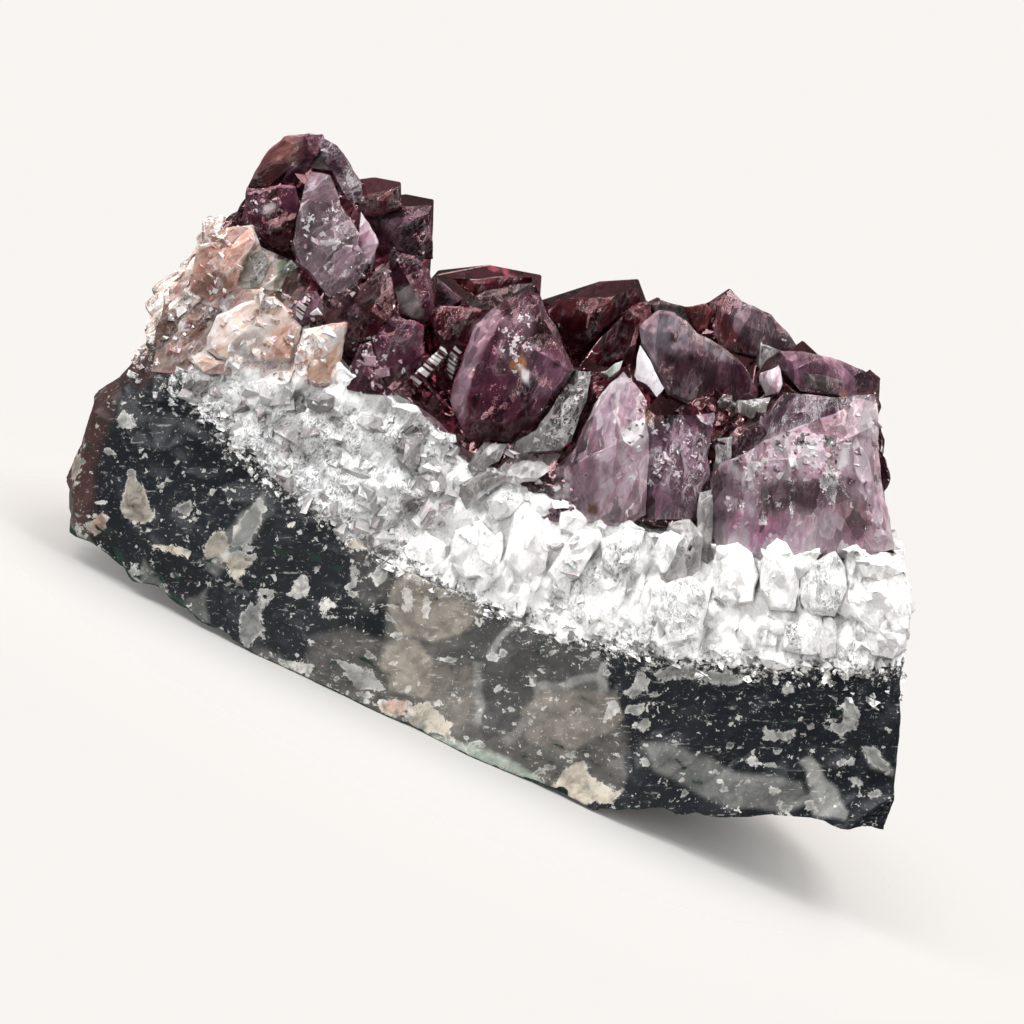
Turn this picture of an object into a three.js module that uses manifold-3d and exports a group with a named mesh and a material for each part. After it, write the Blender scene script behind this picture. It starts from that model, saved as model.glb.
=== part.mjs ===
// Amethyst cluster: purple quartz points on a band of milky quartz, grown on dark chalcedony rock.
// Millimetres, +Z up. The origin is under the middle of the cluster, on the face that it rests on.
// The broken face that shows the layers looks towards -Y.
import * as THREE from "three";
import { ConvexGeometry } from "three/addons/geometries/ConvexGeometry.js";
import { ImprovedNoise } from "three/addons/math/ImprovedNoise.js";
import { mergeVertices } from "three/addons/utils/BufferGeometryUtils.js";
import Module from "manifold-3d";

const wasm = await Module();
wasm.setup();

// Outline of the block that the cluster was broken to: [height, distance] pairs, joined by straight lines
const LEFT_END = [[0, -39], [4, -42.5], [12, -43.2], [20, -40.5], [31, -39.6], [38, -37.6], [46, -36.4]];
const RIGHT_END = [[9, 40.2], [23, 35], [29, 33.4], [32, 30], [37, 26.6], [46, 22.6]];
const FRONT = [[0, -20.5], [14, -21.5], [21, -22], [28, -21], [46, -20]];
const BACK = [[0, 17], [10, 21.5], [27, 21], [46, 16]];
const MIDDLE_HEIGHT = 18;
const BLOCK_TOP = 54;
const BLOCK_CELLS = [25, 10, 14];

// How far each side draws in towards its corners, and the wave of the back
const DRAW_IN = {
  leftBack: 5,
  leftFront: 2.5,
  rightBack: 6,
  frontLeft: 4.5,
  frontRight: 0.9,
  backLeft: 6,
  backRight: 4,
};
const BACK_WAVE = { depth: 1.2, turns: 9 };

// Relief of the broken sides: lumps and a finer grain, each with its depth and its pitch along and up
const LUMPS = { depth: 1.1, along: 7, up: 5 };
const GRAIN = { depth: 0.6, along: 3, up: 2.6, shift: 9 };

// Underside: a flat patch to rest on, with lumps round it, rising to the right, the back and the left
const UNDERSIDE = {
  rest: -1,
  rightFrom: 12.5,
  rightSlope: 0.4,
  backFrom: 12,
  backSlope: 0.3,
  leftFrom: -20,
  leftSlope: 0.12,
};
const UNDERSIDE_LUMPS = { depth: 1.2, pitch: 6, height: 3.3 };
const REST_PATCH = { x: -5, y: -3, halfLength: 15, halfWidth: 10.5, fade: 0.35 };

// Layers: heights over the base line, curved like the wall of a hollow
const ROCK_TOP = { low: 12, centre: -4, curve: 0.0072, wave: 1.4, pitch: 8 };
const BAND_TOP = { low: 24.4, centre: -3, curve: 0.0068, wave: 2.4, pitch: 7 };
const BED_DEPTH = 2.5;
const LAYER_GAP = 0.32;

// Blocks over and under a layer, which cut the rest along it
const CUT_SIZE = [100, 60];
const CUT_CELLS = [17, 10];
const CUT_TOP = 60;
const CUT_BOTTOM = -10;

// Quartz habit: six sides that taper to the root, and six tip faces, of which every second one is smaller
const SIDES = 6;
const SIDE_TURN = 360 / SIDES;
const TIP_FACE_ANGLE = THREE.MathUtils.degToRad(51.8);
const SMALL_FACE_SETBACK = 0.12;
const FACE_SCATTER = 0.06;
const SIDE_SCATTER = [0.8, 1.08];
const ROOT_TAPER = 0.1;
const ROOT_DEPTH = 5;

// Height that the filling points reach: a left peak, a right shoulder and a slow fall to the back
const TIPS = {
  base: 35.5,
  peak: 6.5,
  peakX: -29,
  peakWidth: 7,
  shoulder: 9,
  shoulderFrom: -12,
  shoulderTo: 8,
  fall: 0.12,
};
const TIP_SCATTER = 6;
const TIP_SKEW = 1.5;
const LEAN = { right: -0.014, left: -0.004, back: 0.012, scatter: 0.16 };
const FILL = {
  left: -34,
  right: 28,
  front: -10,
  back: 19,
  alongPitch: 6.6,
  deepPitch: 6.2,
  scatter: 3,
  clear: 4.4,
};
const FILL_WIDTHS = [6, 10.5];
const SMALL_COUNT = 30;
const SMALL_WIDTHS = [2.6, 4.6];
const SMALL_HEIGHTS = [4, 9];
const SMALL_MARGIN = 0.05;

// Columns of milky quartz all round the band, which stand out of its sides by their relief
const COLUMN_COUNT = 56;
const COLUMN_WIDTHS = [2.6, 4.8];
const COLUMN_FOOT = 6;
const COLUMN_TOP = 36;
const COLUMN_RELIEF = 0.9;
const COLUMN_LEVEL = 24;
const COLUMN_SCATTER = 0.6;
const COLUMN_WALLS = 4;

const SEED = 20;
const UP = new THREE.Vector3(0, 0, 1);
const EDGE = 1e-5;
const WELD = 1e-4;

const noise = new ImprovedNoise();
const { lerp, smoothstep, degToRad } = THREE.MathUtils;

// A repeatable stream of numbers from 0 to 1
function randomStream(seed) {
  let state = seed;
  return () => {
    state = (state * 1664525 + 1013904223) % 4294967296;
    return state / 4294967296;
  };
}

function between(random, [low, high]) {
  return lerp(low, high, random());
}

function scattered(random, size) {
  return size * (random() - 0.5);
}

function along(outline, height) {
  const next = outline.findIndex(([h]) => h >= height);
  if (next === 0) return outline[0][1];
  if (next < 0) return outline[outline.length - 1][1];
  const [h0, d0] = outline[next - 1];
  const [h1, d1] = outline[next];
  return lerp(d0, d1, (height - h0) / (h1 - h0));
}

function layerHeight(layer, x, y) {
  const bowl = layer.low + layer.curve * (x - layer.centre) ** 2;
  return bowl + layer.wave * noise.noise(x / layer.pitch, y / layer.pitch, layer.low);
}

function undersideHeight(x, y) {
  const { rest, rightFrom, rightSlope, backFrom, backSlope, leftFrom, leftSlope } = UNDERSIDE;
  const rise =
    rightSlope * Math.max(0, x - rightFrom) +
    backSlope * Math.max(0, y - backFrom) +
    leftSlope * Math.max(0, leftFrom - x);
  const { depth, pitch, height } = UNDERSIDE_LUMPS;
  const patch = REST_PATCH;
  const offPatch = Math.hypot((x - patch.x) / patch.halfLength, (y - patch.y) / patch.halfWidth);
  const lumps = depth * Math.max(0, noise.noise(x / pitch, y / pitch, height));
  return rest + rise + lumps * smoothstep(offPatch, 1, 1 + REST_PATCH.fade);
}

// Place in the plan: u runs from the left end to the right, v from the broken front to the back
function planPlace(u, v, height) {
  const left = along(LEFT_END, height) + DRAW_IN.leftBack * v ** 2 + DRAW_IN.leftFront * (1 - v) ** 4;
  const right = along(RIGHT_END, height) - DRAW_IN.rightBack * v ** 3;
  const front = along(FRONT, height) + DRAW_IN.frontLeft * (1 - u) ** 6 + DRAW_IN.frontRight * u ** 8;
  const wave = BACK_WAVE.depth * Math.sin(BACK_WAVE.turns * u);
  const back = along(BACK, height) - DRAW_IN.backLeft * (1 - u) ** 3 - DRAW_IN.backRight * u ** 6 + wave;
  return [lerp(left, right, u), lerp(front, back, v)];
}

function roughness(x, y, z) {
  const lumps = LUMPS.depth * noise.noise(x / LUMPS.along, y / LUMPS.along, z / LUMPS.up);
  const grain = noise.noise(x / GRAIN.along, y / GRAIN.along, z / GRAIN.up + GRAIN.shift);
  return lumps + GRAIN.depth * grain;
}

// -1 and 1 at the two ends of a run from 0 to 1, and 0 between them
function outward(t) {
  if (t < EDGE) return -1;
  return t > 1 - EDGE ? 1 : 0;
}

function toSolid(geometry) {
  const bare = new THREE.BufferGeometry().setAttribute("position", geometry.getAttribute("position"));
  bare.setIndex(geometry.index);
  const merged = mergeVertices(bare, WELD);
  return new wasm.Manifold(
    new wasm.Mesh({
      numProp: 3,
      vertProperties: new Float32Array(merged.attributes.position.array),
      triVerts: new Uint32Array(merged.index.array),
    }),
  );
}

function toGeometry(solid) {
  const { vertProperties, triVerts } = solid.getMesh();
  const geometry = new THREE.BufferGeometry();
  geometry.setAttribute("position", new THREE.BufferAttribute(vertProperties, 3));
  geometry.setIndex(new THREE.BufferAttribute(triVerts, 1));
  const flat = geometry.toNonIndexed();
  flat.computeVertexNormals();
  return flat;
}

// The block that the whole cluster was broken to, from its underside to over the highest tip
function blockSolid() {
  const geometry = new THREE.BoxGeometry(1, 1, 1, ...BLOCK_CELLS);
  const position = geometry.getAttribute("position");
  for (let i = 0; i < position.count; i++) {
    const u = position.getX(i) + 0.5;
    const v = position.getY(i) + 0.5;
    const w = position.getZ(i) + 0.5;
    const [flatX, flatY] = planPlace(u, v, MIDDLE_HEIGHT);
    const z = lerp(undersideHeight(flatX, flatY), BLOCK_TOP, w);
    const [x, y] = planPlace(u, v, z);
    const relief = roughness(x, y, z);
    position.setXYZ(i, x + outward(u) * relief, y + outward(v) * relief, z);
  }
  return toSolid(geometry);
}

// Everything over or under a layer's surface, which a gap or a bed raises
function cutAt(layer, raise, farHeight) {
  const geometry = new THREE.BoxGeometry(...CUT_SIZE, 1, ...CUT_CELLS, 1);
  const position = geometry.getAttribute("position");
  const over = farHeight > layer.low;
  for (let i = 0; i < position.count; i++) {
    const near = position.getZ(i) < 0 === over;
    const surface = layerHeight(layer, position.getX(i), position.getY(i)) + raise;
    position.setZ(i, near ? surface : farHeight);
  }
  return toSolid(geometry);
}

function above(layer, raise = 0) {
  return cutAt(layer, raise, CUT_TOP);
}

function below(layer, raise = 0) {
  return cutAt(layer, raise, CUT_BOTTOM);
}

// One quartz point with its root at the origin and its tip up: the shape that all its faces cut out
function quartzPoint(width, height, random, taper) {
  const planes = [new THREE.Plane(new THREE.Vector3(0, 0, -1), 0)];
  for (let k = 0; k < SIDES; k++) {
    const turn = (2 * k * Math.PI) / SIDES;
    const side = new THREE.Vector3(Math.cos(turn), Math.sin(turn), -taper).normalize();
    planes.push(new THREE.Plane(side, (-width / 2) * between(random, SIDE_SCATTER)));
    const slope = Math.sin(TIP_FACE_ANGLE);
    const tip = new THREE.Vector3(slope * Math.cos(turn), slope * Math.sin(turn), Math.cos(TIP_FACE_ANGLE));
    const setback = (k % 2 ? SMALL_FACE_SETBACK : 0) + FACE_SCATTER * random();
    planes.push(new THREE.Plane(tip, -height * tip.z - setback * width));
  }
  return new ConvexGeometry(cornersOf(planes));
}

function cornersOf(planes) {
  const corners = [];
  for (let a = 0; a < planes.length; a++)
    for (let b = a + 1; b < planes.length; b++)
      for (let c = b + 1; c < planes.length; c++) {
        const corner = meeting(planes[a], planes[b], planes[c]);
        if (!corner) continue;
        const inside = planes.every((p) => p.distanceToPoint(corner) < EDGE);
        const fresh = corners.every((q) => q.distanceTo(corner) > 10 * WELD);
        if (inside && fresh) corners.push(corner);
      }
  return corners;
}

function meeting(p, q, r) {
  const cross = new THREE.Vector3().crossVectors(q.normal, r.normal);
  const volume = p.normal.dot(cross);
  if (Math.abs(volume) < EDGE) return null;
  return cross
    .multiplyScalar(-p.constant)
    .addScaledVector(new THREE.Vector3().crossVectors(r.normal, p.normal), -q.constant)
    .addScaledVector(new THREE.Vector3().crossVectors(p.normal, q.normal), -r.constant)
    .divideScalar(volume);
}

// A point whose tip is at a place, leaning by dx and dy for each millimetre up, rooted below the bed
function placedPoint({ tip, lean, width, turn = 0 }, random) {
  const axis = new THREE.Vector3(lean[0], lean[1], 1).normalize();
  const bed = layerHeight(BAND_TOP, tip[0], tip[1]) - ROOT_DEPTH;
  const height = Math.max(width, (tip[2] - bed) / axis.z);
  const geometry = quartzPoint(width, height, random, ROOT_TAPER);
  geometry.rotateZ(degToRad(turn));
  geometry.applyQuaternion(new THREE.Quaternion().setFromUnitVectors(UP, axis));
  const root = new THREE.Vector3(...tip).addScaledVector(axis, -height);
  geometry.translate(root.x, root.y, root.z);
  return toSolid(geometry);
}

// The points that stand out in the front rows, from the left. A turn of -90 shows a large face to the front
const LEADING_POINTS = [
  { tip: [-34.6, -14, 42.6], lean: [-0.02, 0], width: 7.5, turn: -70 },
  { tip: [-32.2, -13, 43.6], lean: [0.16, 0], width: 11.5, turn: -90 },
  { tip: [-27.2, -15.5, 40.3], lean: [0.2, 0.05], width: 10, turn: -75 },
  { tip: [-25.2, -3, 42], lean: [0.34, 0], width: 9, turn: 0 },
  { tip: [-21, -8, 42.3], lean: [0.34, 0], width: 9.5, turn: 10 },
  { tip: [-22.1, -16.5, 35.9], lean: [0.1, 0.05], width: 9, turn: -100 },
  { tip: [-16, -12.5, 34.2], lean: [0.24, -0.1], width: 7, turn: -60 },
  { tip: [-15, -17, 30.5], lean: [0.1, -0.1], width: 5.5, turn: -80 },
  { tip: [-9.8, 2, 39.4], lean: [0.34, 0], width: 12, turn: 5 },
  { tip: [-9.4, -14.5, 39.6], lean: [0.08, -0.3], width: 12.5, turn: -88 },
  { tip: [-1.4, -18.6, 35.4], lean: [0.42, 0], width: 5, turn: -90 },
  { tip: [-0.8, 6, 42.4], lean: [0.1, 0.05], width: 12, turn: 20 },
  { tip: [1.4, -9.5, 43], lean: [-0.12, -0.34], width: 13.5, turn: -84 },
  { tip: [1.6, -17, 36.6], lean: [0, 0.04], width: 9.5, turn: -95 },
  { tip: [7.9, -2, 46.2], lean: [-0.16, 0.04], width: 12, turn: -60 },
  { tip: [9.4, -16.5, 37.9], lean: [-0.24, 0.04], width: 9.5, turn: -80 },
  { tip: [12.6, -14, 43], lean: [-0.25, -0.1], width: 5, turn: -60 },
  { tip: [15.4, -11.5, 44.7], lean: [-0.3, -0.1], width: 12, turn: -78 },
  { tip: [15.2, -16.6, 41.4], lean: [-0.34, 0.04], width: 9.5, turn: -96 },
  { tip: [22.2, -12.5, 45], lean: [-0.36, -0.05], width: 10.5, turn: -88 },
  { tip: [21.2, -16.4, 42], lean: [-0.38, 0.05], width: 9.5, turn: -84 },
  { tip: [25.2, -15.5, 38.8], lean: [-0.38, 0.04], width: 8, turn: -70 },
];

function tipHeight(x, y) {
  const { base, peak, peakX, peakWidth, shoulder, shoulderFrom, shoulderTo, fall } = TIPS;
  const leftPeak = peak * Math.exp(-(((x - peakX) / peakWidth) ** 2));
  return base + leftPeak + shoulder * smoothstep(x, shoulderFrom, shoulderTo) - fall * Math.max(0, y);
}

function outwardLean(x, y, random) {
  const side = (x > 0 ? LEAN.right : LEAN.left) * x;
  return [side + scattered(random, LEAN.scatter), LEAN.back * y + scattered(random, LEAN.scatter)];
}

function clearOf(points, tip, distance) {
  return points.every((p) => Math.hypot(p.tip[0] - tip[0], p.tip[1] - tip[1]) > distance);
}

function fillPoints(random) {
  const points = [];
  for (let row = FILL.front; row < FILL.back; row += FILL.deepPitch)
    for (let place = FILL.left; place < FILL.right; place += FILL.alongPitch) {
      const x = place + scattered(random, FILL.scatter);
      const y = row + scattered(random, FILL.scatter);
      const tip = [x, y, tipHeight(x, y) - TIP_SCATTER * random() ** TIP_SKEW];
      const width = between(random, FILL_WIDTHS);
      const lean = outwardLean(x, y, random);
      if (!clearOf(LEADING_POINTS, tip, FILL.clear)) continue;
      points.push({ tip, lean, width, turn: SIDE_TURN * random() });
    }
  return points;
}

function smallPoints(random) {
  const inset = [SMALL_MARGIN, 1 - SMALL_MARGIN];
  return Array.from({ length: SMALL_COUNT }, () => {
    const [x, y] = planPlace(between(random, inset), between(random, inset), TIPS.base);
    const tip = [x, y, layerHeight(BAND_TOP, x, y) + between(random, SMALL_HEIGHTS)];
    const lean = outwardLean(x, y, random);
    return { tip, lean, width: between(random, SMALL_WIDTHS), turn: SIDE_TURN * random() };
  });
}

function bandColumns(random) {
  const [leftEdge, frontEdge] = planPlace(0, 0, COLUMN_LEVEL);
  const [rightEdge, backEdge] = planPlace(1, 1, COLUMN_LEVEL);
  return Array.from({ length: COLUMN_COUNT }, (_, i) => {
    const lap = (COLUMN_WALLS * (i + COLUMN_SCATTER * random())) / COLUMN_COUNT;
    const side = Math.floor(lap);
    const part = lap - side;
    const width = between(random, COLUMN_WIDTHS);
    const inset = width / 2 - COLUMN_RELIEF;
    const deep = inset / (backEdge - frontEdge);
    const long = inset / (rightEdge - leftEdge);
    const [u, v] = [[part, deep], [1 - long, part], [1 - part, 1 - deep], [long, 1 - part]][side];
    const [x, y] = planPlace(u, v, COLUMN_LEVEL);
    const lean = outwardLean(x, y, random);
    const geometry = quartzPoint(width, COLUMN_TOP - COLUMN_FOOT, random, 0);
    geometry.rotateZ(random() * Math.PI);
    geometry.applyMatrix4(new THREE.Matrix4().makeShear(0, 0, 0, 0, lean[0], lean[1]));
    const down = COLUMN_LEVEL - COLUMN_FOOT;
    geometry.translate(x - lean[0] * down, y - lean[1] * down, COLUMN_FOOT);
    return toSolid(geometry);
  });
}

function joined(solids) {
  return solids.reduce((whole, solid) => whole.add(solid));
}

// The largest closed surface of a solid, which leaves out crumbs and sealed hollows
function mainPiece(solid) {
  return solid.decompose().reduce((best, piece) => (piece.volume() > best.volume() ? piece : best));
}

const random = randomStream(SEED);
const block = blockSolid();
const columns = joined(bandColumns(random));
const points = joined(
  [...LEADING_POINTS, ...fillPoints(random), ...smallPoints(random)].map((p) => placedPoint(p, random)),
);

const rock = block.subtract(above(ROCK_TOP));
const band = block.add(columns).intersect(above(ROCK_TOP, LAYER_GAP)).subtract(above(BAND_TOP));
const growth = points.add(below(BAND_TOP, BED_DEPTH));
const crystals = growth.intersect(above(BAND_TOP, LAYER_GAP)).intersect(block);

const materials = {
  rock: new THREE.MeshStandardMaterial({ color: 0x23262b, roughness: 0.45, metalness: 0 }),
  milky: new THREE.MeshStandardMaterial({ color: 0xe9e8e4, roughness: 0.35, metalness: 0 }),
  amethyst: new THREE.MeshStandardMaterial({ color: 0x5b3a66, roughness: 0.12, metalness: 0 }),
};

function part(name, solid, material) {
  const mesh = new THREE.Mesh(toGeometry(mainPiece(solid)), material);
  mesh.name = name;
  return mesh;
}

const cluster = new THREE.Group();
cluster.add(
  part("matrix_rock", rock, materials.rock),
  part("milky_quartz_band", band, materials.milky),
  part("amethyst_crystals", crystals, materials.amethyst),
);

// The origin goes under the middle of the cluster, on the face that it rests on
const box = new THREE.Box3().setFromObject(cluster);
const middle = box.getCenter(new THREE.Vector3());
cluster.position.set(-middle.x, -middle.y, -box.min.z);

export default cluster;
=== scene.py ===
# Amethyst cluster: purple quartz points on a band of milky quartz, on dark chalcedony with a green crust.
# Metres, in the frame's own axes. The broken face that shows the layers looks towards -Y.
import math
import random

import bmesh
import bpy
import numpy as np
from mathutils import Matrix, Vector
from mathutils.bvhtree import BVHTree


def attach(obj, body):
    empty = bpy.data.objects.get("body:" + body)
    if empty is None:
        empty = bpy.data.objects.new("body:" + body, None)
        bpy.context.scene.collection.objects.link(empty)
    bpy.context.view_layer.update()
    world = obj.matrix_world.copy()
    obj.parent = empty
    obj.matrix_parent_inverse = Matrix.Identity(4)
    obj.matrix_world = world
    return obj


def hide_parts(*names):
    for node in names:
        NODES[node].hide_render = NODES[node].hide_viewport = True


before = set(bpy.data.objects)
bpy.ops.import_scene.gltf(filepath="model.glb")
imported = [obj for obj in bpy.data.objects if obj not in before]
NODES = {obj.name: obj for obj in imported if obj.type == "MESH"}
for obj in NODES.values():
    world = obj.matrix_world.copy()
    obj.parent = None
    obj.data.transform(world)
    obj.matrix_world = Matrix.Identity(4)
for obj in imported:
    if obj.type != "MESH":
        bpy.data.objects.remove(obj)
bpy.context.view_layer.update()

MM = 0.001

# The photograph's view: rolled about its axis, looking a little down on the broken face
CAMERA_ROLL = math.radians(24.7)
CAMERA_TILT = math.radians(8)
CAMERA_DISTANCE = 0.32
CAMERA_TARGET = Vector((-1.4, -20.4, 22)) * MM
PICTURE_SIDE = 1024
PIXEL = 0.09 * MM
SENSOR = 36

# The layers are curved about an axis along Y over the cluster, and the crystals grow towards it
GROWTH_AXIS = Vector((-3, 0, 90)) * MM
BAND_FOOT_RADIUS = 76 * MM
BAND_TOP_RADIUS = 64.5 * MM

# Refining stops after this many rounds, each of which halves the long edges
REFINE_ROUNDS = 7
# Points closer than this are one, and faces that turn less than this are one flat face
SAME_POINT = 0.001 * MM
FLAT_TURN = math.radians(0.5)


# Modelling helpers


def choose(piece):
    bpy.ops.object.select_all(action="DESELECT")
    piece.select_set(True)
    bpy.context.view_layer.objects.active = piece


def edit(piece, select="DESELECT", kind="FACE"):
    choose(piece)
    bpy.ops.object.mode_set(mode="EDIT")
    bpy.ops.mesh.select_mode(type=kind)
    bpy.ops.mesh.select_all(action=select)


def leave_edit():
    bpy.ops.object.mode_set(mode="OBJECT")


def apply_modifier(piece, kind, **settings):
    choose(piece)
    modifier = piece.modifiers.new(kind.lower(), kind)
    for name, value in settings.items():
        setattr(modifier, name, value)
    bpy.ops.object.modifier_apply(modifier=modifier.name)


def from_node(node, name):
    """A new piece with the shape of a CAD solid, its triangles joined and its flat faces made whole."""
    piece = bpy.data.objects.new(name, NODES[node].data.copy())
    bpy.context.scene.collection.objects.link(piece)
    piece.data.materials.clear()
    edit(piece, "SELECT")
    bpy.ops.mesh.remove_doubles(threshold=SAME_POINT)
    bpy.ops.mesh.dissolve_limited(angle_limit=FLAT_TURN)
    leave_edit()
    return piece


def select_faces(piece, wanted):
    """Goes to edit mode with the faces selected for which wanted(centre, normal) is true."""
    edit(piece)
    shape = bmesh.from_edit_mesh(piece.data)
    for face in shape.faces:
        face.select_set(wanted(face.calc_center_median(), face.normal))
    bmesh.update_edit_mesh(piece.data)


def mark_faces(piece, name, wanted):
    """Writes a value of 1 or 0 on every face, which refining keeps."""
    marks = piece.data.attributes.new(name, "FLOAT", "FACE")
    for face in piece.data.polygons:
        marks.data[face.index].value = float(wanted(face.center, face.normal))


def refine(piece, longest, mark=None):
    """Splits edges until none is over a length, on the marked faces or everywhere."""
    edit(piece, kind="EDGE")
    for _ in range(REFINE_ROUNDS):
        shape = bmesh.from_edit_mesh(piece.data)
        layer = shape.faces.layers.float.get(mark) if mark else None
        bpy.ops.mesh.select_all(action="DESELECT")
        long_edges = [edge for edge in shape.edges if edge.calc_length() > longest]
        if mark:
            long_edges = [edge for edge in long_edges if any(face[layer] > 0.5 for face in edge.link_faces)]
        if not long_edges:
            break
        for edge in long_edges:
            edge.select_set(True)
        bpy.ops.mesh.subdivide(number_cuts=1, ngon=False)
        shape = bmesh.from_edit_mesh(piece.data)
        layer = shape.faces.layers.float.get(mark) if mark else None
        bpy.ops.mesh.select_all(action="DESELECT")
        for face in shape.faces:
            if len(face.verts) > 3 and (not mark or face[layer] > 0.5):
                face.select_set(True)
        bpy.ops.mesh.quads_convert_to_tris(quad_method="BEAUTY", ngon_method="BEAUTY")
    leave_edit()


def group_of_marked(piece, mark, name):
    """A vertex group of the points that have only marked faces round them."""
    marks = piece.data.attributes[mark].data
    whole = [True] * len(piece.data.vertices)
    for face in piece.data.polygons:
        if marks[face.index].value < 0.5:
            for corner in face.vertices:
                whole[corner] = False
    group = piece.vertex_groups.new(name=name)
    group.add([i for i, inside in enumerate(whole) if inside], 1.0, "REPLACE")


def relief(piece, kind, pitch, depth, group="", middle=0.5, **settings):
    """Raises and sinks the surface by a solid pattern, with its pitch and depth in millimetres."""
    pattern = bpy.data.textures.new(f"{piece.name} {kind.lower()}", kind)
    for name, value in {"noise_scale": pitch * MM, **settings}.items():
        setattr(pattern, name, value)
    apply_modifier(
        piece,
        "DISPLACE",
        texture=pattern,
        texture_coords="LOCAL",
        strength=depth * MM,
        mid_level=middle,
        vertex_group=group,
    )


def smooth(piece, angle):
    """Shades a piece smooth, but for edges that turn by more than an angle in degrees."""
    choose(piece)
    bpy.ops.object.shade_smooth_by_angle(angle=math.radians(angle))


def growth_direction(place):
    return Vector((GROWTH_AXIS.x - place.x, 0, GROWTH_AXIS.z - place.z)).normalized()


def growth_radius(place):
    return math.hypot(place.x - GROWTH_AXIS.x, place.z - GROWTH_AXIS.z)


def surface_of(piece):
    return BVHTree.FromObject(piece, bpy.context.evaluated_depsgraph_get())


def join_all(parts, name):
    bpy.ops.object.select_all(action="DESELECT")
    for part in parts:
        part.select_set(True)
    bpy.context.view_layer.objects.active = parts[0]
    if len(parts) > 1:
        bpy.ops.object.join()
    parts[0].name = name
    return parts[0]


def place_copy(model, matrix):
    """A copy with its own mesh, with its place, turn and size in the mesh."""
    copy = bpy.data.objects.new(model.name, model.data.copy())
    copy.data.transform(matrix)
    bpy.context.scene.collection.objects.link(copy)
    return copy


def standing(place, axis, turn, size):
    """The matrix that sizes a model and stands it on a place, its Z along an axis and turned about it."""
    upright = axis.to_track_quat("Z", "Y").to_matrix().to_4x4()
    return Matrix.Translation(place) @ upright @ Matrix.Rotation(turn, 4, "Z") @ Matrix.Diagonal((*size, 1))


# Camera


def camera_axes():
    forward = Vector((0, math.cos(CAMERA_TILT), -math.sin(CAMERA_TILT)))
    level = Vector((1, 0, 0))
    upright = Vector((0, math.sin(CAMERA_TILT), math.cos(CAMERA_TILT)))
    right = math.cos(CAMERA_ROLL) * level + math.sin(CAMERA_ROLL) * upright
    up = math.cos(CAMERA_ROLL) * upright - math.sin(CAMERA_ROLL) * level
    return right, up, forward


RIGHT, PICTURE_UP, FORWARD = camera_axes()
CAMERA_PLACE = CAMERA_TARGET - FORWARD * CAMERA_DISTANCE


def make_camera():
    camera = bpy.data.objects.new("camera", bpy.data.cameras.new("camera"))
    bpy.context.scene.collection.objects.link(camera)
    camera.matrix_world = Matrix((RIGHT, PICTURE_UP, -FORWARD)).transposed().to_4x4()
    camera.location = CAMERA_PLACE
    camera.data.sensor_width = SENSOR
    camera.data.lens = SENSOR * CAMERA_DISTANCE / (PICTURE_SIDE * PIXEL)
    bpy.context.scene.camera = camera


def sight(pixel):
    """The direction from the camera through a pixel of the picture."""
    across = (pixel[0] - PICTURE_SIDE / 2) * PIXEL
    upward = (PICTURE_SIDE / 2 - pixel[1]) * PIXEL
    return (FORWARD * CAMERA_DISTANCE + RIGHT * across + PICTURE_UP * upward).normalized()


def seen_at(pixel, surface):
    """The place on a surface that shows at a pixel, and its normal."""
    place, normal, _, _ = surface.ray_cast(CAMERA_PLACE, sight(pixel))
    return place, normal


def on_face(pixel, depth):
    """The place on a plane along the broken face, at a depth along Y, that shows at a pixel."""
    direction = sight(pixel)
    return CAMERA_PLACE + direction * (depth - CAMERA_PLACE.y) / direction.y


# Floor, backdrop and light

PAPER = (0.94, 0.915, 0.885, 1)
FLOOR_SIDE = 0.9
FLOOR_TINT = (0.43, 0.43, 0.42, 1)
FLOOR_FADE = (0.015, 0.075)

# The backdrop glows from low to high between two heights of the view. In front and behind, past two turns
# of the view, only a share of the glow is left
WORLD_TINT = (1.0, 0.9, 0.87, 1)
WORLD_GLOW = (0.22, 0.9)
WORLD_RISE = (-0.2, 0.8)
WORLD_ENDS = 0.2
WORLD_TURN = (0.25, 0.95)

# Each softbox: place and side in metres, power in watts
SOFTBOXES = {
    "window": {"place": (-0.5, -0.35, 0.6), "side": (0.35, 0.5), "power": 6.2},
    "overhead": {"place": (0.12, -0.02, 0.75), "side": (0.5, 0.3), "power": 4},
    "strip": {"place": (0.5, -0.4, 0.35), "side": (0.08, 0.4), "power": 1.8},
    "low strip": {"place": (-0.25, -0.6, 0.12), "side": (0.3, 0.05), "power": 1.3},
    "left spark": {"place": (-0.3, -0.5, 0.5), "side": (0.04, 0.04), "power": 0.6},
    "right spark": {"place": (0.3, -0.4, 0.5), "side": (0.04, 0.04), "power": 0.6},
    "warm back": {"place": (-0.1, 0.5, 0.45), "side": (0.5, 0.3), "power": 2.2, "colour": (1.0, 0.78, 0.72)},
}


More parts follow.
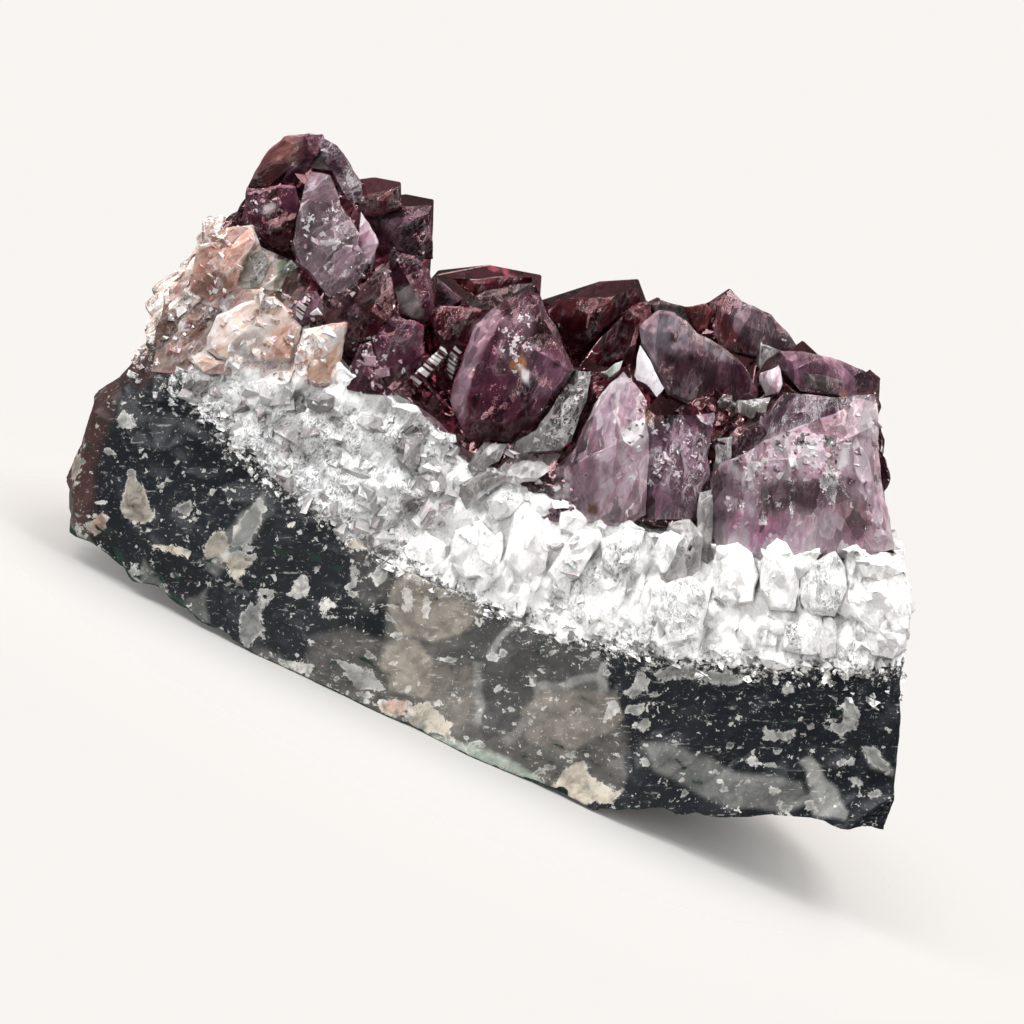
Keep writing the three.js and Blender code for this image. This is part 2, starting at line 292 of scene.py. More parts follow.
def light_scene():
    for name, box in SOFTBOXES.items():
        lamp = bpy.data.lights.new(name, "AREA")
        lamp.shape = "RECTANGLE"
        lamp.size, lamp.size_y = box["side"]
        lamp.energy = box["power"]
        lamp.color = box.get("colour", (1, 1, 1))
        holder = bpy.data.objects.new(name, lamp)
        holder.location = box["place"]
        aim = CAMERA_TARGET - holder.location
        holder.rotation_euler = aim.to_track_quat("-Z", "Y").to_euler()
        bpy.context.scene.collection.objects.link(holder)

    world = bpy.data.worlds.new("studio")
    bpy.context.scene.world = world
    world.use_nodes = True
    tree = world.node_tree
    background = tree.nodes["Background"]
    place = add(tree, "ShaderNodeTexCoord").outputs["Generated"]
    parts = split(tree, place)
    glow = spread(tree, parts["Z"], *WORLD_RISE, *WORLD_GLOW)
    facing = maths(tree, "ABSOLUTE", parts["Y"])
    glow = times(tree, glow, spread(tree, facing, *WORLD_TURN, 1.0, WORLD_ENDS))
    seen = add(tree, "ShaderNodeLightPath").outputs["Is Camera Ray"]
    warm = blend(tree, 1.0, grey(tree, glow), WORLD_TINT, "MULTIPLY")
    tree.links.new(blend(tree, seen, warm, PAPER), background.inputs["Color"])


def make_floor(paper):
    bpy.ops.mesh.primitive_plane_add(size=FLOOR_SIDE, location=(0, 0, 0))
    floor = bpy.context.object
    floor.name = "paper_floor"
    floor.data.materials.append(paper)


# Node helpers


def add(tree, kind, inputs=None, **settings):
    """Adds a node, with its settings, and its inputs as values or links."""
    made = tree.nodes.new(kind)
    for name, value in settings.items():
        setattr(made, name, value)
    for name, value in (inputs or {}).items():
        if isinstance(value, bpy.types.NodeSocket):
            tree.links.new(value, made.inputs[name])
        else:
            made.inputs[name].default_value = value
    return made


def maths(tree, operation, first, second=0.0):
    return add(tree, "ShaderNodeMath", {0: first, 1: second}, operation=operation).outputs[0]


def times(tree, first, second):
    return maths(tree, "MULTIPLY", first, second)


def plus(tree, first, second):
    return maths(tree, "ADD", first, second)


def larger(tree, *values):
    """The largest of several values."""
    found = values[0]
    for value in values[1:]:
        found = maths(tree, "MAXIMUM", found, value)
    return found


def moved(tree, operation, first, second):
    return add(tree, "ShaderNodeVectorMath", {0: first, 1: second}, operation=operation).outputs[0]


def scaled(tree, vector, factor):
    return add(tree, "ShaderNodeVectorMath", {0: vector, "Scale": factor}, operation="SCALE").outputs[0]


def size_of(tree, vector):
    return add(tree, "ShaderNodeVectorMath", {0: vector}, operation="LENGTH").outputs["Value"]


def split(tree, vector):
    return add(tree, "ShaderNodeSeparateXYZ", {0: vector}).outputs


def blend(tree, amount, low, high, mode="MIX"):
    inputs = {0: amount, 6: low, 7: high}
    return add(tree, "ShaderNodeMix", inputs, data_type="RGBA", blend_type=mode).outputs[2]


def spread(tree, value, low, high, to_low=0.0, to_high=1.0, kind="SMOOTHSTEP"):
    inputs = {"Value": value, "From Min": low, "From Max": high, "To Min": to_low, "To Max": to_high}
    return add(tree, "ShaderNodeMapRange", inputs, interpolation_type=kind).outputs["Result"]


def grey(tree, value):
    return add(tree, "ShaderNodeCombineColor", {0: value, 1: value, 2: value}).outputs[0]


def shaded(tree, amount, colour, value, low, high, dark, light):
    """A colour made darker or lighter, by where a value lies between two others."""
    return blend(tree, amount, colour, grey(tree, spread(tree, value, low, high, dark, light)), "OVERLAY")


def cloud(tree, vector, scale, detail=3.0, rough=0.55, twist=0.0):
    inputs = {"Vector": vector, "Scale": scale, "Detail": detail, "Roughness": rough, "Distortion": twist}
    return add(tree, "ShaderNodeTexNoise", inputs).outputs["Fac"]


def wisps(tree, vector, scale, width, twist):
    """Thin curled lines, where a cloud crosses its middle value."""
    middle = maths(tree, "SUBTRACT", cloud(tree, vector, scale, rough=0.6, twist=twist), 0.5)
    return spread(tree, maths(tree, "ABSOLUTE", middle), width, 0.0)


def stretched(tree, vector, scale, turn=0.0):
    """A vector turned about Y and scaled along each axis, so that a pattern on it is drawn out."""
    inputs = {"Vector": vector, "Rotation": (0, turn, 0), "Scale": scale}
    return add(tree, "ShaderNodeMapping", inputs, vector_type="TEXTURE").outputs[0]


def shaken(tree, vector, scale, detail, reach):
    """A vector shifted by a noise, so that a pattern on it gets uneven edges."""
    noise = add(tree, "ShaderNodeTexNoise", {"Vector": vector, "Scale": scale, "Detail": detail})
    shake = moved(tree, "SUBTRACT", noise.outputs["Color"], (0.5, 0.5, 0.5))
    return moved(tree, "ADD", vector, scaled(tree, shake, reach))


def object_place(tree):
    return add(tree, "ShaderNodeTexCoord").outputs["Object"]


def new_group(name, inputs, outputs):
    """A shader node group with named sockets, and its input and output nodes."""
    tree = bpy.data.node_groups.new(name, "ShaderNodeTree")
    kinds = {"vector": "NodeSocketVector", "value": "NodeSocketFloat"}
    for title, kind in inputs.items():
        tree.interface.new_socket(title, in_out="INPUT", socket_type=kinds[kind])
    for title, kind in outputs.items():
        tree.interface.new_socket(title, in_out="OUTPUT", socket_type=kinds[kind])
    return tree, tree.nodes.new("NodeGroupInput").outputs, tree.nodes.new("NodeGroupOutput").inputs


def use(tree, group, **inputs):
    """The output of a node group, or all of them where it has more than one."""
    found = add(tree, "ShaderNodeGroup", inputs, node_tree=group).outputs
    return found[0] if len(found) == 1 else found


# Specks: how much finer than their cells their outline shakes, how uneven their sizes are, their soft edge
SPECK_SHAKE = 2.2
SPECK_UNEVEN = 1.5
SPECK_EDGE = 0.06

# Broken facets: how far their outlines shake, and between which distances from an edge it fades
FACET_SHAKE = 0.9
FACET_EDGE = (0.07, 0.01)


def specks_group():
    """Small spots of uneven size: one in each cell of a lattice, and only in some cells."""
    tree, given, out = new_group(
        "specks",
        {"Vector": "vector", "Scale": "value", "Share": "value", "Size": "value", "Ragged": "value"},
        {"Mask": "value"},
    )
    scale = given["Scale"]
    reach = maths(tree, "DIVIDE", given["Ragged"], scale)
    places = shaken(tree, given["Vector"], times(tree, scale, SPECK_SHAKE), 2.0, reach)
    cells = add(tree, "ShaderNodeTexVoronoi", {"Vector": places, "Scale": scale}).outputs
    chance = add(tree, "ShaderNodeSeparateColor", {0: cells["Color"]}).outputs
    kept = maths(tree, "LESS_THAN", chance[0], given["Share"])
    radius = times(tree, given["Size"], maths(tree, "POWER", chance[1], SPECK_UNEVEN))
    near = maths(tree, "SUBTRACT", radius, cells["Distance"])
    tree.links.new(times(tree, kept, spread(tree, near, 0.0, SPECK_EDGE)), out["Mask"])
    return tree


def facets_group():
    """A normal that tilts in flat patches, as if the surface were broken into small faces."""
    tree, given, out = new_group(
        "broken facets",
        {"Vector": "vector", "Scale": "value", "Tilt": "value", "Normal": "vector"},
        {"Normal": "vector", "Shade": "value", "Edge": "value"},
    )
    scale = given["Scale"]
    reach = maths(tree, "DIVIDE", FACET_SHAKE, scale)
    inputs = {"Vector": shaken(tree, given["Vector"], scale, 3.0, reach), "Scale": scale}
    cells = add(tree, "ShaderNodeTexVoronoi", inputs).outputs["Color"]
    lean = scaled(tree, moved(tree, "SUBTRACT", cells, (0.5, 0.5, 0.5)), given["Tilt"])
    leaning = moved(tree, "ADD", given["Normal"], lean)
    normal = add(tree, "ShaderNodeVectorMath", {0: leaning}, operation="NORMALIZE").outputs[0]
    tree.links.new(normal, out["Normal"])
    # A value per patch, which the materials use to paint the facets lighter and darker, as painted light and
    # shade, and for roughness
    tree.links.new(add(tree, "ShaderNodeSeparateColor", {0: cells}).outputs[0], out["Shade"])
    near = add(tree, "ShaderNodeTexVoronoi", inputs, feature="DISTANCE_TO_EDGE").outputs["Distance"]
    tree.links.new(spread(tree, near, *FACET_EDGE), out["Edge"])
    return tree


def growth_group():
    """Coordinates that follow the crystals: X across them, Y into the cluster, Z along them."""
    tree, given, out = new_group("growth lines", {"Vector": "vector"}, {"Vector": "vector"})
    offset = moved(tree, "SUBTRACT", given["Vector"], tuple(GROWTH_AXIS))
    parts = split(tree, offset)
    angle = maths(tree, "ARCTAN2", parts["X"], times(tree, parts["Z"], -1.0))
    across = times(tree, angle, BAND_TOP_RADIUS)
    flat = add(tree, "ShaderNodeCombineXYZ", {"X": parts["X"], "Z": parts["Z"]}).outputs[0]
    radius = size_of(tree, flat)
    joined = add(tree, "ShaderNodeCombineXYZ", {"X": across, "Y": parts["Y"], "Z": radius}).outputs[0]
    tree.links.new(joined, out["Vector"])
    return tree


SPECKS = specks_group()
FACETS = facets_group()
GROWTH = growth_group()


def new_material(name, **values):
    """A material with a Principled shader whose plain values are set by socket name."""
    material = bpy.data.materials.new(name)
    material.use_nodes = True
    tree = material.node_tree
    shader = tree.nodes["Principled BSDF"]
    for title, value in values.items():
        shader.inputs[title.replace("_", " ")].default_value = value
    return material, tree, shader


def feed(tree, shader, **links):
    for title, socket in links.items():
        tree.links.new(socket, shader.inputs[title.replace("_", " ")])


def bump(tree, height, distance, strength=1.0, under=None):
    inputs = {"Height": height, "Distance": distance, "Strength": strength}
    if under:
        inputs["Normal"] = under
    return add(tree, "ShaderNodeBump", inputs).outputs[0]


def paper_material():
    material, tree, shader = new_material("warm white paper", Base_Color=FLOOR_TINT, Roughness=0.9)
    feed(tree, shader, Alpha=spread(tree, size_of(tree, object_place(tree)), *FLOOR_FADE, 1.0, 0.0))
    return material


# Patches of colour that follow the picture

# The outlines waver by this many pixels, in waves of one pitch that are bent by waves of another
PAINT_WAVER = 2.0
WAVER_PITCH = 0.6 * MM
WAVER_CROSS_PITCH = 1.3 * MM

# Where a pattern goes around, places behind this depth are painted as if they lay at it
WALL_DEPTH = -16 * MM


def to_pixels(places):
    """The pixels at which an array of places shows."""
    offset = places - np.array(CAMERA_PLACE)
    shrink = CAMERA_DISTANCE / (offset @ np.array(FORWARD)) / PIXEL
    across = PICTURE_SIDE / 2 + (offset @ np.array(RIGHT)) * shrink
    down = PICTURE_SIDE / 2 - (offset @ np.array(PICTURE_UP)) * shrink
    return np.stack([across, down], axis=1)


def depth_inside(outline, spots):
    """How deep each spot lies inside an outline, in pixels, and below zero outside it."""
    ends = np.array(outline, float)
    nearest = np.full(len(spots), np.inf)
    inside = np.zeros(len(spots), bool)
    for start, end in zip(np.roll(ends, 1, axis=0), ends):
        run = end - start
        along = np.clip((spots - start) @ run / (run @ run), 0, 1)
        nearest = np.minimum(nearest, np.hypot(*(spots - start - along[:, None] * run).T))
        crossed = (start[1] > spots[:, 1]) != (end[1] > spots[:, 1])
        slant = run[0] / run[1] if run[1] else 0.0
        inside ^= crossed & (spots[:, 0] < start[0] + (spots[:, 1] - start[1]) * slant)
    return np.where(inside, nearest, -nearest)


def paint(piece, name, patches, ground=None, around=False):
    """Lays soft-edged patches of colour on a piece's points, and straight through to its back if around."""
    places = np.empty(len(piece.data.vertices) * 3)
    piece.data.vertices.foreach_get("co", places)
    places = places.reshape(-1, 3)
    seen = places.copy()
    if around:
        seen[:, 1] = np.minimum(seen[:, 1], WALL_DEPTH)
    waves = np.sin(places / WAVER_PITCH + 2 * np.sin(places[:, ::-1] / WAVER_CROSS_PITCH))
    spots = to_pixels(seen) + PAINT_WAVER * waves[:, [0, 2]]
    colour = np.zeros((len(places), 4))
    if ground:
        colour[:] = (*ground, 1)
    for outline, tint, strength, soft, *inset in patches:
        ends = np.array(outline, float)
        margin = soft * MM / PIXEL
        near = np.all((spots > ends.min(axis=0) - margin) & (spots < ends.max(axis=0) + margin), axis=1)
        depth = (depth_inside(outline, spots[near]) * PIXEL / MM - sum(inset)) / soft
        edge = np.clip(0.5 + depth, 0, 1)
        weight = strength * edge * edge * (3 - 2 * edge)
        under = colour[near]
        total = weight + under[:, 3] * (1 - weight)
        share = np.where(under[:, 3] > 0, weight / np.maximum(total, 1e-6), 1.0)
        under[:, :3] += (np.array(tint) - under[:, :3]) * share[:, None]
        under[:, 3] = total
        colour[near] = under
    layer = piece.data.color_attributes.new(name, "FLOAT_COLOR", "POINT")
    layer.data.foreach_set("color", colour.ravel())


# The ragged edge of a crisp patch: scale, detail, roughness and twist of its noise, and how steeply it ends
RAGGED_EDGE = (1500.0, 6.0, 0.75, 0.5)
CRISP = (0.42, 0.58)
RING_CORNERS = 6


def painted(tree, colour, name, place=None, ragged=0.0):
    """A colour under the piece's own patches, their depth, and where they show. Ragged ones are crisp."""
    patch = add(tree, "ShaderNodeAttribute", attribute_name=name).outputs
    amount = patch["Alpha"]
    if ragged:
        edge = cloud(tree, place, *RAGGED_EDGE)
        amount = plus(tree, amount, spread(tree, edge, 0.2, 0.8, -ragged, ragged, "LINEAR"))
        amount = spread(tree, amount, *CRISP)
    return blend(tree, amount, colour, patch["Color"]), patch["Alpha"], amount


def ragged_ring(middle, reach, draw):
    """An uneven, flattened outline round a pixel."""
    start = draw.uniform(0, math.pi)
    squeeze = draw.uniform(0.3, 0.9)
    ring = []
    for i in range(RING_CORNERS):
        turn = start + 2 * math.pi * i / RING_CORNERS
        corner = reach * draw.uniform(0.3, 1.0)
        ring.append((middle[0] + math.cos(turn) * corner, middle[1] + math.sin(turn) * corner * squeeze))
    return ring


def spot_inside(outline, draw):
    """A random pixel inside an outline."""
    low = [min(p[axis] for p in outline) for axis in (0, 1)]
    high = [max(p[axis] for p in outline) for axis in (0, 1)]
    while True:
        spot = [draw.uniform(low[axis], high[axis]) for axis in (0, 1)]
        if depth_inside(outline, np.array([spot]))[0] > 0:
            return spot


def middle_of(outline):
    return [sum(p[axis] for p in outline) / len(outline) for axis in (0, 1)]


def finish_piece(piece, material, slot, *nodes):
    piece.data.materials.clear()
    piece.data.materials.append(material)
    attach(piece, "root")
    if nodes:
        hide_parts(*nodes)
    return piece


# Rock: dark chalcedony with pale flakes, smoky clear areas and a green crust underneath

ROCK_BLACK = (0.003, 0.0045, 0.007, 1)
ROCK_BLUE = (0.01, 0.013, 0.018, 1)
DARK = (0.008, 0.01, 0.014)
SMOKE = (0.12, 0.115, 0.105)
SMOKE_DEEP = (0.06, 0.06, 0.057)
SMOKE_BROWN = (0.22, 0.2, 0.175)
GREY = (0.2, 0.205, 0.195)
PALE = (0.34, 0.345, 0.33)
CHALK = (0.62, 0.61, 0.57)
BEIGE = (0.32, 0.29, 0.245)
CREAM = (0.5, 0.45, 0.37)
PINK = (0.55, 0.38, 0.3)
BROWN = (0.075, 0.035, 0.03)
OLIVE = (0.13, 0.12, 0.075)
MOSS = (0.4, 0.46, 0.4)
CRUST_GREY = (0.13, 0.17, 0.145)
CRUST_DEEP = (0.02, 0.05, 0.035)
CRUST_GREEN = (0.012, 0.04, 0.028, 1)
CRUST_PALE = (0.13, 0.2, 0.155, 1)
ROCK_IOR = 1.53

# Refining: the pitch all over, and the finer one on faces whose normal points to the front by this much
ROCK_PITCH = 0.75 * MM
ROCK_FRONT_PITCH = 0.36 * MM
FRONT_TURN = -0.5

# Relief in millimetres: swells and chips all over, and lumps where the surface looks down
ROCK_SWELL = {"kind": "CLOUDS", "pitch": 4, "depth": 0.45, "noise_depth": 3}
ROCK_CHIPS = {"kind": "VORONOI", "pitch": 2.2, "depth": 0.3, "middle": 0.4}
ROCK_UNDERSIDE = {"kind": "VORONOI", "pitch": 3.2, "depth": -1.4, "middle": 0.4, "group": "under"}
UNDER_TURN = -0.15
UNDER_CLEAR = 0.4 * MM
UNDER_GAIN = -1.5
ROCK_SMOOTH = 32

# Saw marks: the turn and draw-out of their noise, and its scale, detail and roughness
SAW_TURN = -CAMERA_ROLL
SAW_DRAW = (5.0, 1.0, 1.0)
SAW_NOISE = (2600.0, 3.0, 0.65)

# Noises in the rock: scale, detail, roughness and twist
ROCK_NOISES = {
    "mottle": (160.0, 5.0, 0.6),
    "fleck": (700.0, 4.0, 0.65, 0.5),
    "dust": (2600.0, 3.0, 0.75),
    "sugar": (1700.0, 5.0, 0.8, 0.2),
    "inside": (900.0, 5.0, 0.7, 0.6),
    "grain": (700.0, 4.0, 0.6),
}
FINE_SPECKS = {"Scale": 1500.0, "Share": 0.45, "Size": 0.4, "Ragged": 1.6}
LARGE_SPECKS = {"Scale": 640.0, "Share": 0.16, "Size": 0.34, "Ragged": 2.4}
SUGAR_REACH = (BAND_FOOT_RADIUS + 6 * MM, BAND_FOOT_RADIUS - 1 * MM)
FLAKE_RAGGED = 0.7

# Soft patches: outline in picture pixels, tint, strength, softness in millimetres
ROCK_PATCHES = [
    ([(397, 566), (440, 585), (500, 618), (560, 640), (598, 645), (600, 679), (612, 700), (630, 740),
      (623, 795), (560, 795), (470, 755), (385, 715), (378, 680), (383, 640), (388, 600)], SMOKE, 0.95,
     0.6),
    ([(461, 635), (500, 612), (560, 640), (600, 645), (600, 679), (536, 689), (528, 712), (483, 745),
      (478, 690)], SMOKE_DEEP, 0.8, 0.3),
    ([(536, 689), (617, 689), (627, 720), (600, 735), (570, 757), (530, 745), (520, 715)], SMOKE_BROWN,
     0.8, 0.5),
    ([(434, 662), (478, 670), (478, 722), (440, 725), (420, 699)], SMOKE_BROWN, 0.6, 0.2),
    ([(600, 645), (893, 655), (895, 760), (860, 755), (800, 770), (700, 750), (640, 742), (630, 735),
      (617, 689), (600, 679)], DARK, 0.9, 0.15),
    ([(395, 574), (424, 570), (455, 592), (481, 611), (461, 635), (431, 641), (400, 638), (390, 608)],
     BEIGE, 0.75, 0.2),
    ([(380, 641), (417, 641), (434, 662), (431, 685), (420, 699), (390, 689), (380, 668)], BEIGE, 0.85,
     0.2),
    ([(625, 752), (640, 748), (650, 775), (650, 800), (626, 795)], DARK, 0.9, 0.3),
    ([(514, 615), (520, 618), (492, 655), (485, 652)], PALE, 0.7, 0.3),
    ([(475, 662), (482, 662), (483, 722), (475, 722)], PALE, 0.6, 0.3),
    ([(530, 673), (538, 684), (600, 674), (601, 681), (534, 693), (528, 678)], PALE, 0.6, 0.3),
    ([(600, 660), (608, 662), (606, 690), (598, 688)], PALE, 0.8, 0.25),
    ([(500, 740), (530, 712), (536, 716), (508, 750)], PALE, 0.4, 0.3),
    ([(440, 640), (470, 640), (466, 660), (436, 660)], SMOKE_DEEP, 0.6, 0.4),
    ([(640, 745), (655, 742), (700, 756), (740, 772), (800, 782), (815, 800), (790, 812), (730, 805),
      (690, 790), (655, 770)], GREY, 0.85, 0.7),
    ([(800, 762), (812, 758), (835, 790), (850, 812), (848, 822), (815, 815), (812, 790)], PALE, 0.8,
     0.4),
    ([(862, 748), (875, 750), (897, 768), (895, 775), (870, 768)], GREY, 0.8, 0.3),
    ([(62, 420), (90, 385), (118, 375), (110, 420), (95, 470), (90, 530), (78, 548), (60, 520),
      (56, 470)], BROWN, 0.85, 1.4),
    ([(118, 375), (150, 345), (175, 325), (165, 365), (140, 385)], BROWN, 0.9, 1.0),
    ([(57, 520), (85, 530), (98, 560), (80, 572), (60, 550)], OLIVE, 0.85, 0.5),
    ([(145, 560), (165, 585), (172, 600), (150, 612), (140, 590)], GREY, 0.7, 0.4),
    ([(136, 580), (165, 590), (190, 612), (212, 640), (235, 655), (220, 665), (170, 630), (140, 605)],
     CRUST_GREY, 0.8, 0.6),
    ([(230, 640), (262, 650), (330, 680), (385, 705), (400, 740), (330, 712), (260, 682)], SMOKE, 0.8,
     0.8),
    ([(62, 522), (110, 560), (140, 580), (120, 592), (80, 575), (58, 550)], CRUST_GREY, 0.8, 0.5),
    ([(185, 600), (205, 590), (215, 640), (200, 650), (180, 625)], GREY, 0.55, 0.5),
    ([(262, 493), (266, 520), (240, 552), (215, 575), (202, 560), (225, 530)], GREY, 0.8, 0.6),
    ([(310, 640), (345, 630), (385, 640), (380, 700), (360, 705), (330, 690), (300, 665)], SMOKE, 0.8,
     1.0),
    ([(350, 548), (395, 560), (388, 600), (365, 610), (352, 580)], SMOKE, 0.5, 1.4),
    ([(410, 735), (450, 740), (500, 755), (530, 772), (555, 795), (545, 803), (510, 785), (460, 764),
      (420, 752)], MOSS, 0.8, 0.4),
]

# Crisp pale flakes in the broken face: outline in picture pixels and tint
FLAKES = [
    ([(133, 471), (144, 490), (153, 520), (148, 524), (120, 517), (117, 505)], BEIGE),
    ([(114, 418), (122, 412), (138, 417), (136, 427), (118, 428)], PALE),
    ([(91, 562), (104, 558), (127, 575), (120, 582), (98, 576)], MOSS),
    ([(150, 545), (165, 543), (177, 547), (190, 553), (186, 559), (168, 553)], CREAM),
    ([(224, 560), (240, 555), (257, 556), (250, 568), (236, 577), (226, 572)], CREAM),
    ([(209, 538), (221, 531), (228, 545), (222, 560), (207, 560), (203, 550)], BEIGE),
    ([(258, 495), (266, 505), (262, 525), (245, 545), (228, 548), (236, 528)], GREY),
    ([(250, 600), (262, 612), (263, 632), (248, 648), (240, 636), (241, 612)], GREY),
    ([(292, 590), (300, 574), (307, 580), (305, 597), (296, 597)], CHALK),
    ([(320, 606), (328, 600), (335, 606), (326, 611)], CHALK),
    ([(349, 560), (358, 572), (358, 588), (350, 592), (343, 588), (352, 579)], PALE),
    ([(346, 540), (357, 532), (370, 538), (366, 548), (354, 549)], CREAM),
    ([(332, 660), (352, 662), (372, 672), (384, 689), (355, 684)], PALE),
    ([(283, 664), (300, 660), (309, 668), (300, 676)], CHALK),
    ([(376, 706), (390, 699), (407, 703), (405, 713), (385, 715)], PINK),
    ([(408, 706), (430, 702), (450, 722), (447, 737), (425, 733), (410, 722)], CREAM),
    ([(552, 792), (560, 770), (580, 758), (592, 776), (612, 789), (625, 791), (610, 802), (588, 805),
      (566, 803)], CREAM),
    ([(405, 585), (412, 592), (410, 612), (402, 608)], CHALK),
    ([(421, 598), (430, 604), (431, 618), (422, 616)], CHALK),
    ([(627, 692), (632, 682), (652, 676), (650, 690), (636, 696)], PALE),
    ([(826, 732), (830, 724), (845, 720), (845, 700), (852, 698), (861, 715), (855, 728), (838, 734)],
     PALE),
    ([(762, 738), (770, 728), (785, 730), (793, 728), (792, 740), (775, 742)], PALE),
    ([(601, 720), (606, 710), (620, 708), (622, 716)], CHALK),
    ([(632, 728), (640, 721), (648, 724), (642, 731)], CHALK),
    ([(652, 672), (690, 664), (700, 671), (745, 678), (742, 685), (700, 681), (660, 679)], GREY),
    ([(862, 748), (875, 750), (895, 768), (890, 772), (870, 764)], GREY),
    ([(66, 462), (74, 455), (80, 470), (74, 485), (67, 480)], BEIGE),
    ([(86, 528), (104, 512), (108, 520), (96, 535)], PINK),
    ([(176, 505), (188, 498), (192, 512), (181, 520)], GREY),
]
FLAKE_SEED = 11
FLAKE_SOFT = 0.5

# Small flakes between them: how many, their lowest, highest and likeliest reach in pixels, tints, strengths
SMALL_FLAKES = 230
SMALL_REACH = (4.0, 13.0, 4.0)
SMALL_TINTS = [CHALK, PALE, PALE, GREY, GREY]
SMALL_STRENGTH = (0.6, 1.0)
ROCK_ON_PICTURE = [
    (60, 460), (140, 375), (250, 480), (345, 545), (520, 625), (640, 662), (893, 665), (890, 815),
    (600, 800), (260, 665), (60, 540),
]

# Flakes along the rock's foot, with how far they lie beside and below its line
FOOT_FLAKES = 170
FOOT_REACH = (3, 14, 4)
FOOT_TINTS = [MOSS, GREY, GREY, PALE, CRUST_GREY, CRUST_GREY, CRUST_DEEP]
FOOT_STRENGTH = (0.7, 1.0)
FOOT_BESIDE = (-8, 8)
FOOT_BELOW = (-24, 8)
ROCK_FOOT = [
    (66, 545), (95, 566), (150, 600), (200, 645), (250, 672), (320, 700), (385, 733), (450, 752),
    (540, 790),
]


def all_flakes():
    draw = random.Random(FLAKE_SEED)
    flakes = [(outline, tint, 1.0, 1.0) for outline, tint in FLAKES]
    for _ in range(SMALL_FLAKES):
        reach = draw.triangular(*SMALL_REACH)
        ring = ragged_ring(spot_inside(ROCK_ON_PICTURE, draw), reach, draw)
        flakes.append((ring, draw.choice(SMALL_TINTS), draw.uniform(*SMALL_STRENGTH), FLAKE_SOFT))
    for _ in range(FOOT_FLAKES):
        side = draw.randrange(len(ROCK_FOOT) - 1)
        spot = Vector(ROCK_FOOT[side]).lerp(Vector(ROCK_FOOT[side + 1]), draw.random())
        spot += Vector((draw.uniform(*FOOT_BESIDE), draw.uniform(*FOOT_BELOW)))
        ring = ragged_ring(spot, draw.triangular(*FOOT_REACH), draw)
        flakes.append((ring, draw.choice(FOOT_TINTS), draw.uniform(*FOOT_STRENGTH), FLAKE_SOFT))
    return flakes


def rock_material():
    material, tree, shader = new_material("dark chalcedony", IOR=ROCK_IOR, Specular_IOR_Level=0.3)
    place = object_place(tree)
    streak = cloud(tree, stretched(tree, place, SAW_DRAW, SAW_TURN), *SAW_NOISE)
    noise = {name: cloud(tree, place, *values) for name, values in ROCK_NOISES.items()}
    colour = blend(tree, spread(tree, noise["mottle"], 0.35, 0.7), ROCK_BLACK, ROCK_BLUE)
    colour, _, _ = painted(tree, colour, "stain")
    colour = blend(tree, spread(tree, noise["fleck"], 0.35, 0.65, 0.4, 0.0), colour, (*DARK, 1))

    # White dust, angular specks, and sugary white under the band
    dust = spread(tree, noise["dust"], 0.6, 0.72, 0.0, 0.5)
    dash = spread(tree, streak, 0.62, 0.72, 0.0, 0.35)
    fine = times(tree, use(tree, SPECKS, Vector=place, **FINE_SPECKS), 0.6)
    large = times(tree, use(tree, SPECKS, Vector=place, **LARGE_SPECKS), 0.75)
    radius = split(tree, use(tree, GROWTH, Vector=place))["Z"]
    close = spread(tree, radius, *SUGAR_REACH, -0.16, 0.12)
    sugar = spread(tree, plus(tree, noise["sugar"], close), 0.56, 0.66, 0.0, 0.95)
    white = larger(tree, fine, dust, dash, large, sugar)
    ground = blend(tree, white, colour, (*CHALK, 1))

    # Flakes, paler at their rims and broken up inside
    colour, depth, flakes = painted(tree, ground, "flakes", place, FLAKE_RAGGED)
    rim = times(tree, flakes, spread(tree, depth, 0.9, 0.5, 0.0, 0.55))
    colour = blend(tree, rim, colour, (*CHALK, 1))
    inside = spread(tree, noise["inside"], 0.35, 0.6, 0.55, 0.0)
    colour = blend(tree, times(tree, flakes, inside), colour, ground)

    # Green crust where the surface looks down
    looking = split(tree, add(tree, "ShaderNodeTexCoord").outputs["Normal"])["Z"]
    low = plus(tree, looking, spread(tree, noise["grain"], 0.2, 0.8, -0.3, 0.3))
    crust = spread(tree, low, -0.45, -0.65)
    green = blend(tree, spread(tree, noise["grain"], 0.45, 0.72), CRUST_GREEN, CRUST_PALE)
    colour = blend(tree, crust, colour, green)

    rough = plus(tree, spread(tree, streak, 0.2, 0.8, 0.3, 0.45), times(tree, white, 0.3))
    rough = plus(tree, rough, times(tree, crust, 0.3))
    normal = bump(tree, streak, 0.03 * MM, 0.6)
    normal = bump(tree, noise["fleck"], 0.1 * MM, 0.5, normal)
    feed(tree, shader, Base_Color=colour, Roughness=rough, Normal=normal)
    return material


def make_rock(material):
    rock = from_node("matrix_rock", "dark_rock")
    mark_faces(rock, "front", lambda centre, normal: normal.y < FRONT_TURN)
    refine(rock, ROCK_PITCH)
    refine(rock, ROCK_FRONT_PITCH, "front")
    relief(rock, **ROCK_SWELL)
    relief(rock, **ROCK_CHIPS)
    under = rock.vertex_groups.new(name="under")
    for point in rock.data.vertices:
        if point.normal.z < UNDER_TURN and point.co.z > UNDER_CLEAR:
            under.add([point.index], min(1.0, UNDER_GAIN * point.normal.z), "REPLACE")
    relief(rock, **ROCK_UNDERSIDE)
    for point in rock.data.vertices:
        point.co.z = max(point.co.z, 0.0)
    paint(rock, "stain", ROCK_PATCHES, around=True)
    paint(rock, "flakes", all_flakes(), around=True)
    smooth(rock, ROCK_SMOOTH)
    return finish_piece(rock, material, "matrix_rock", "matrix_rock")


# Milky quartz: a white band of columns that stand along the lines of growth

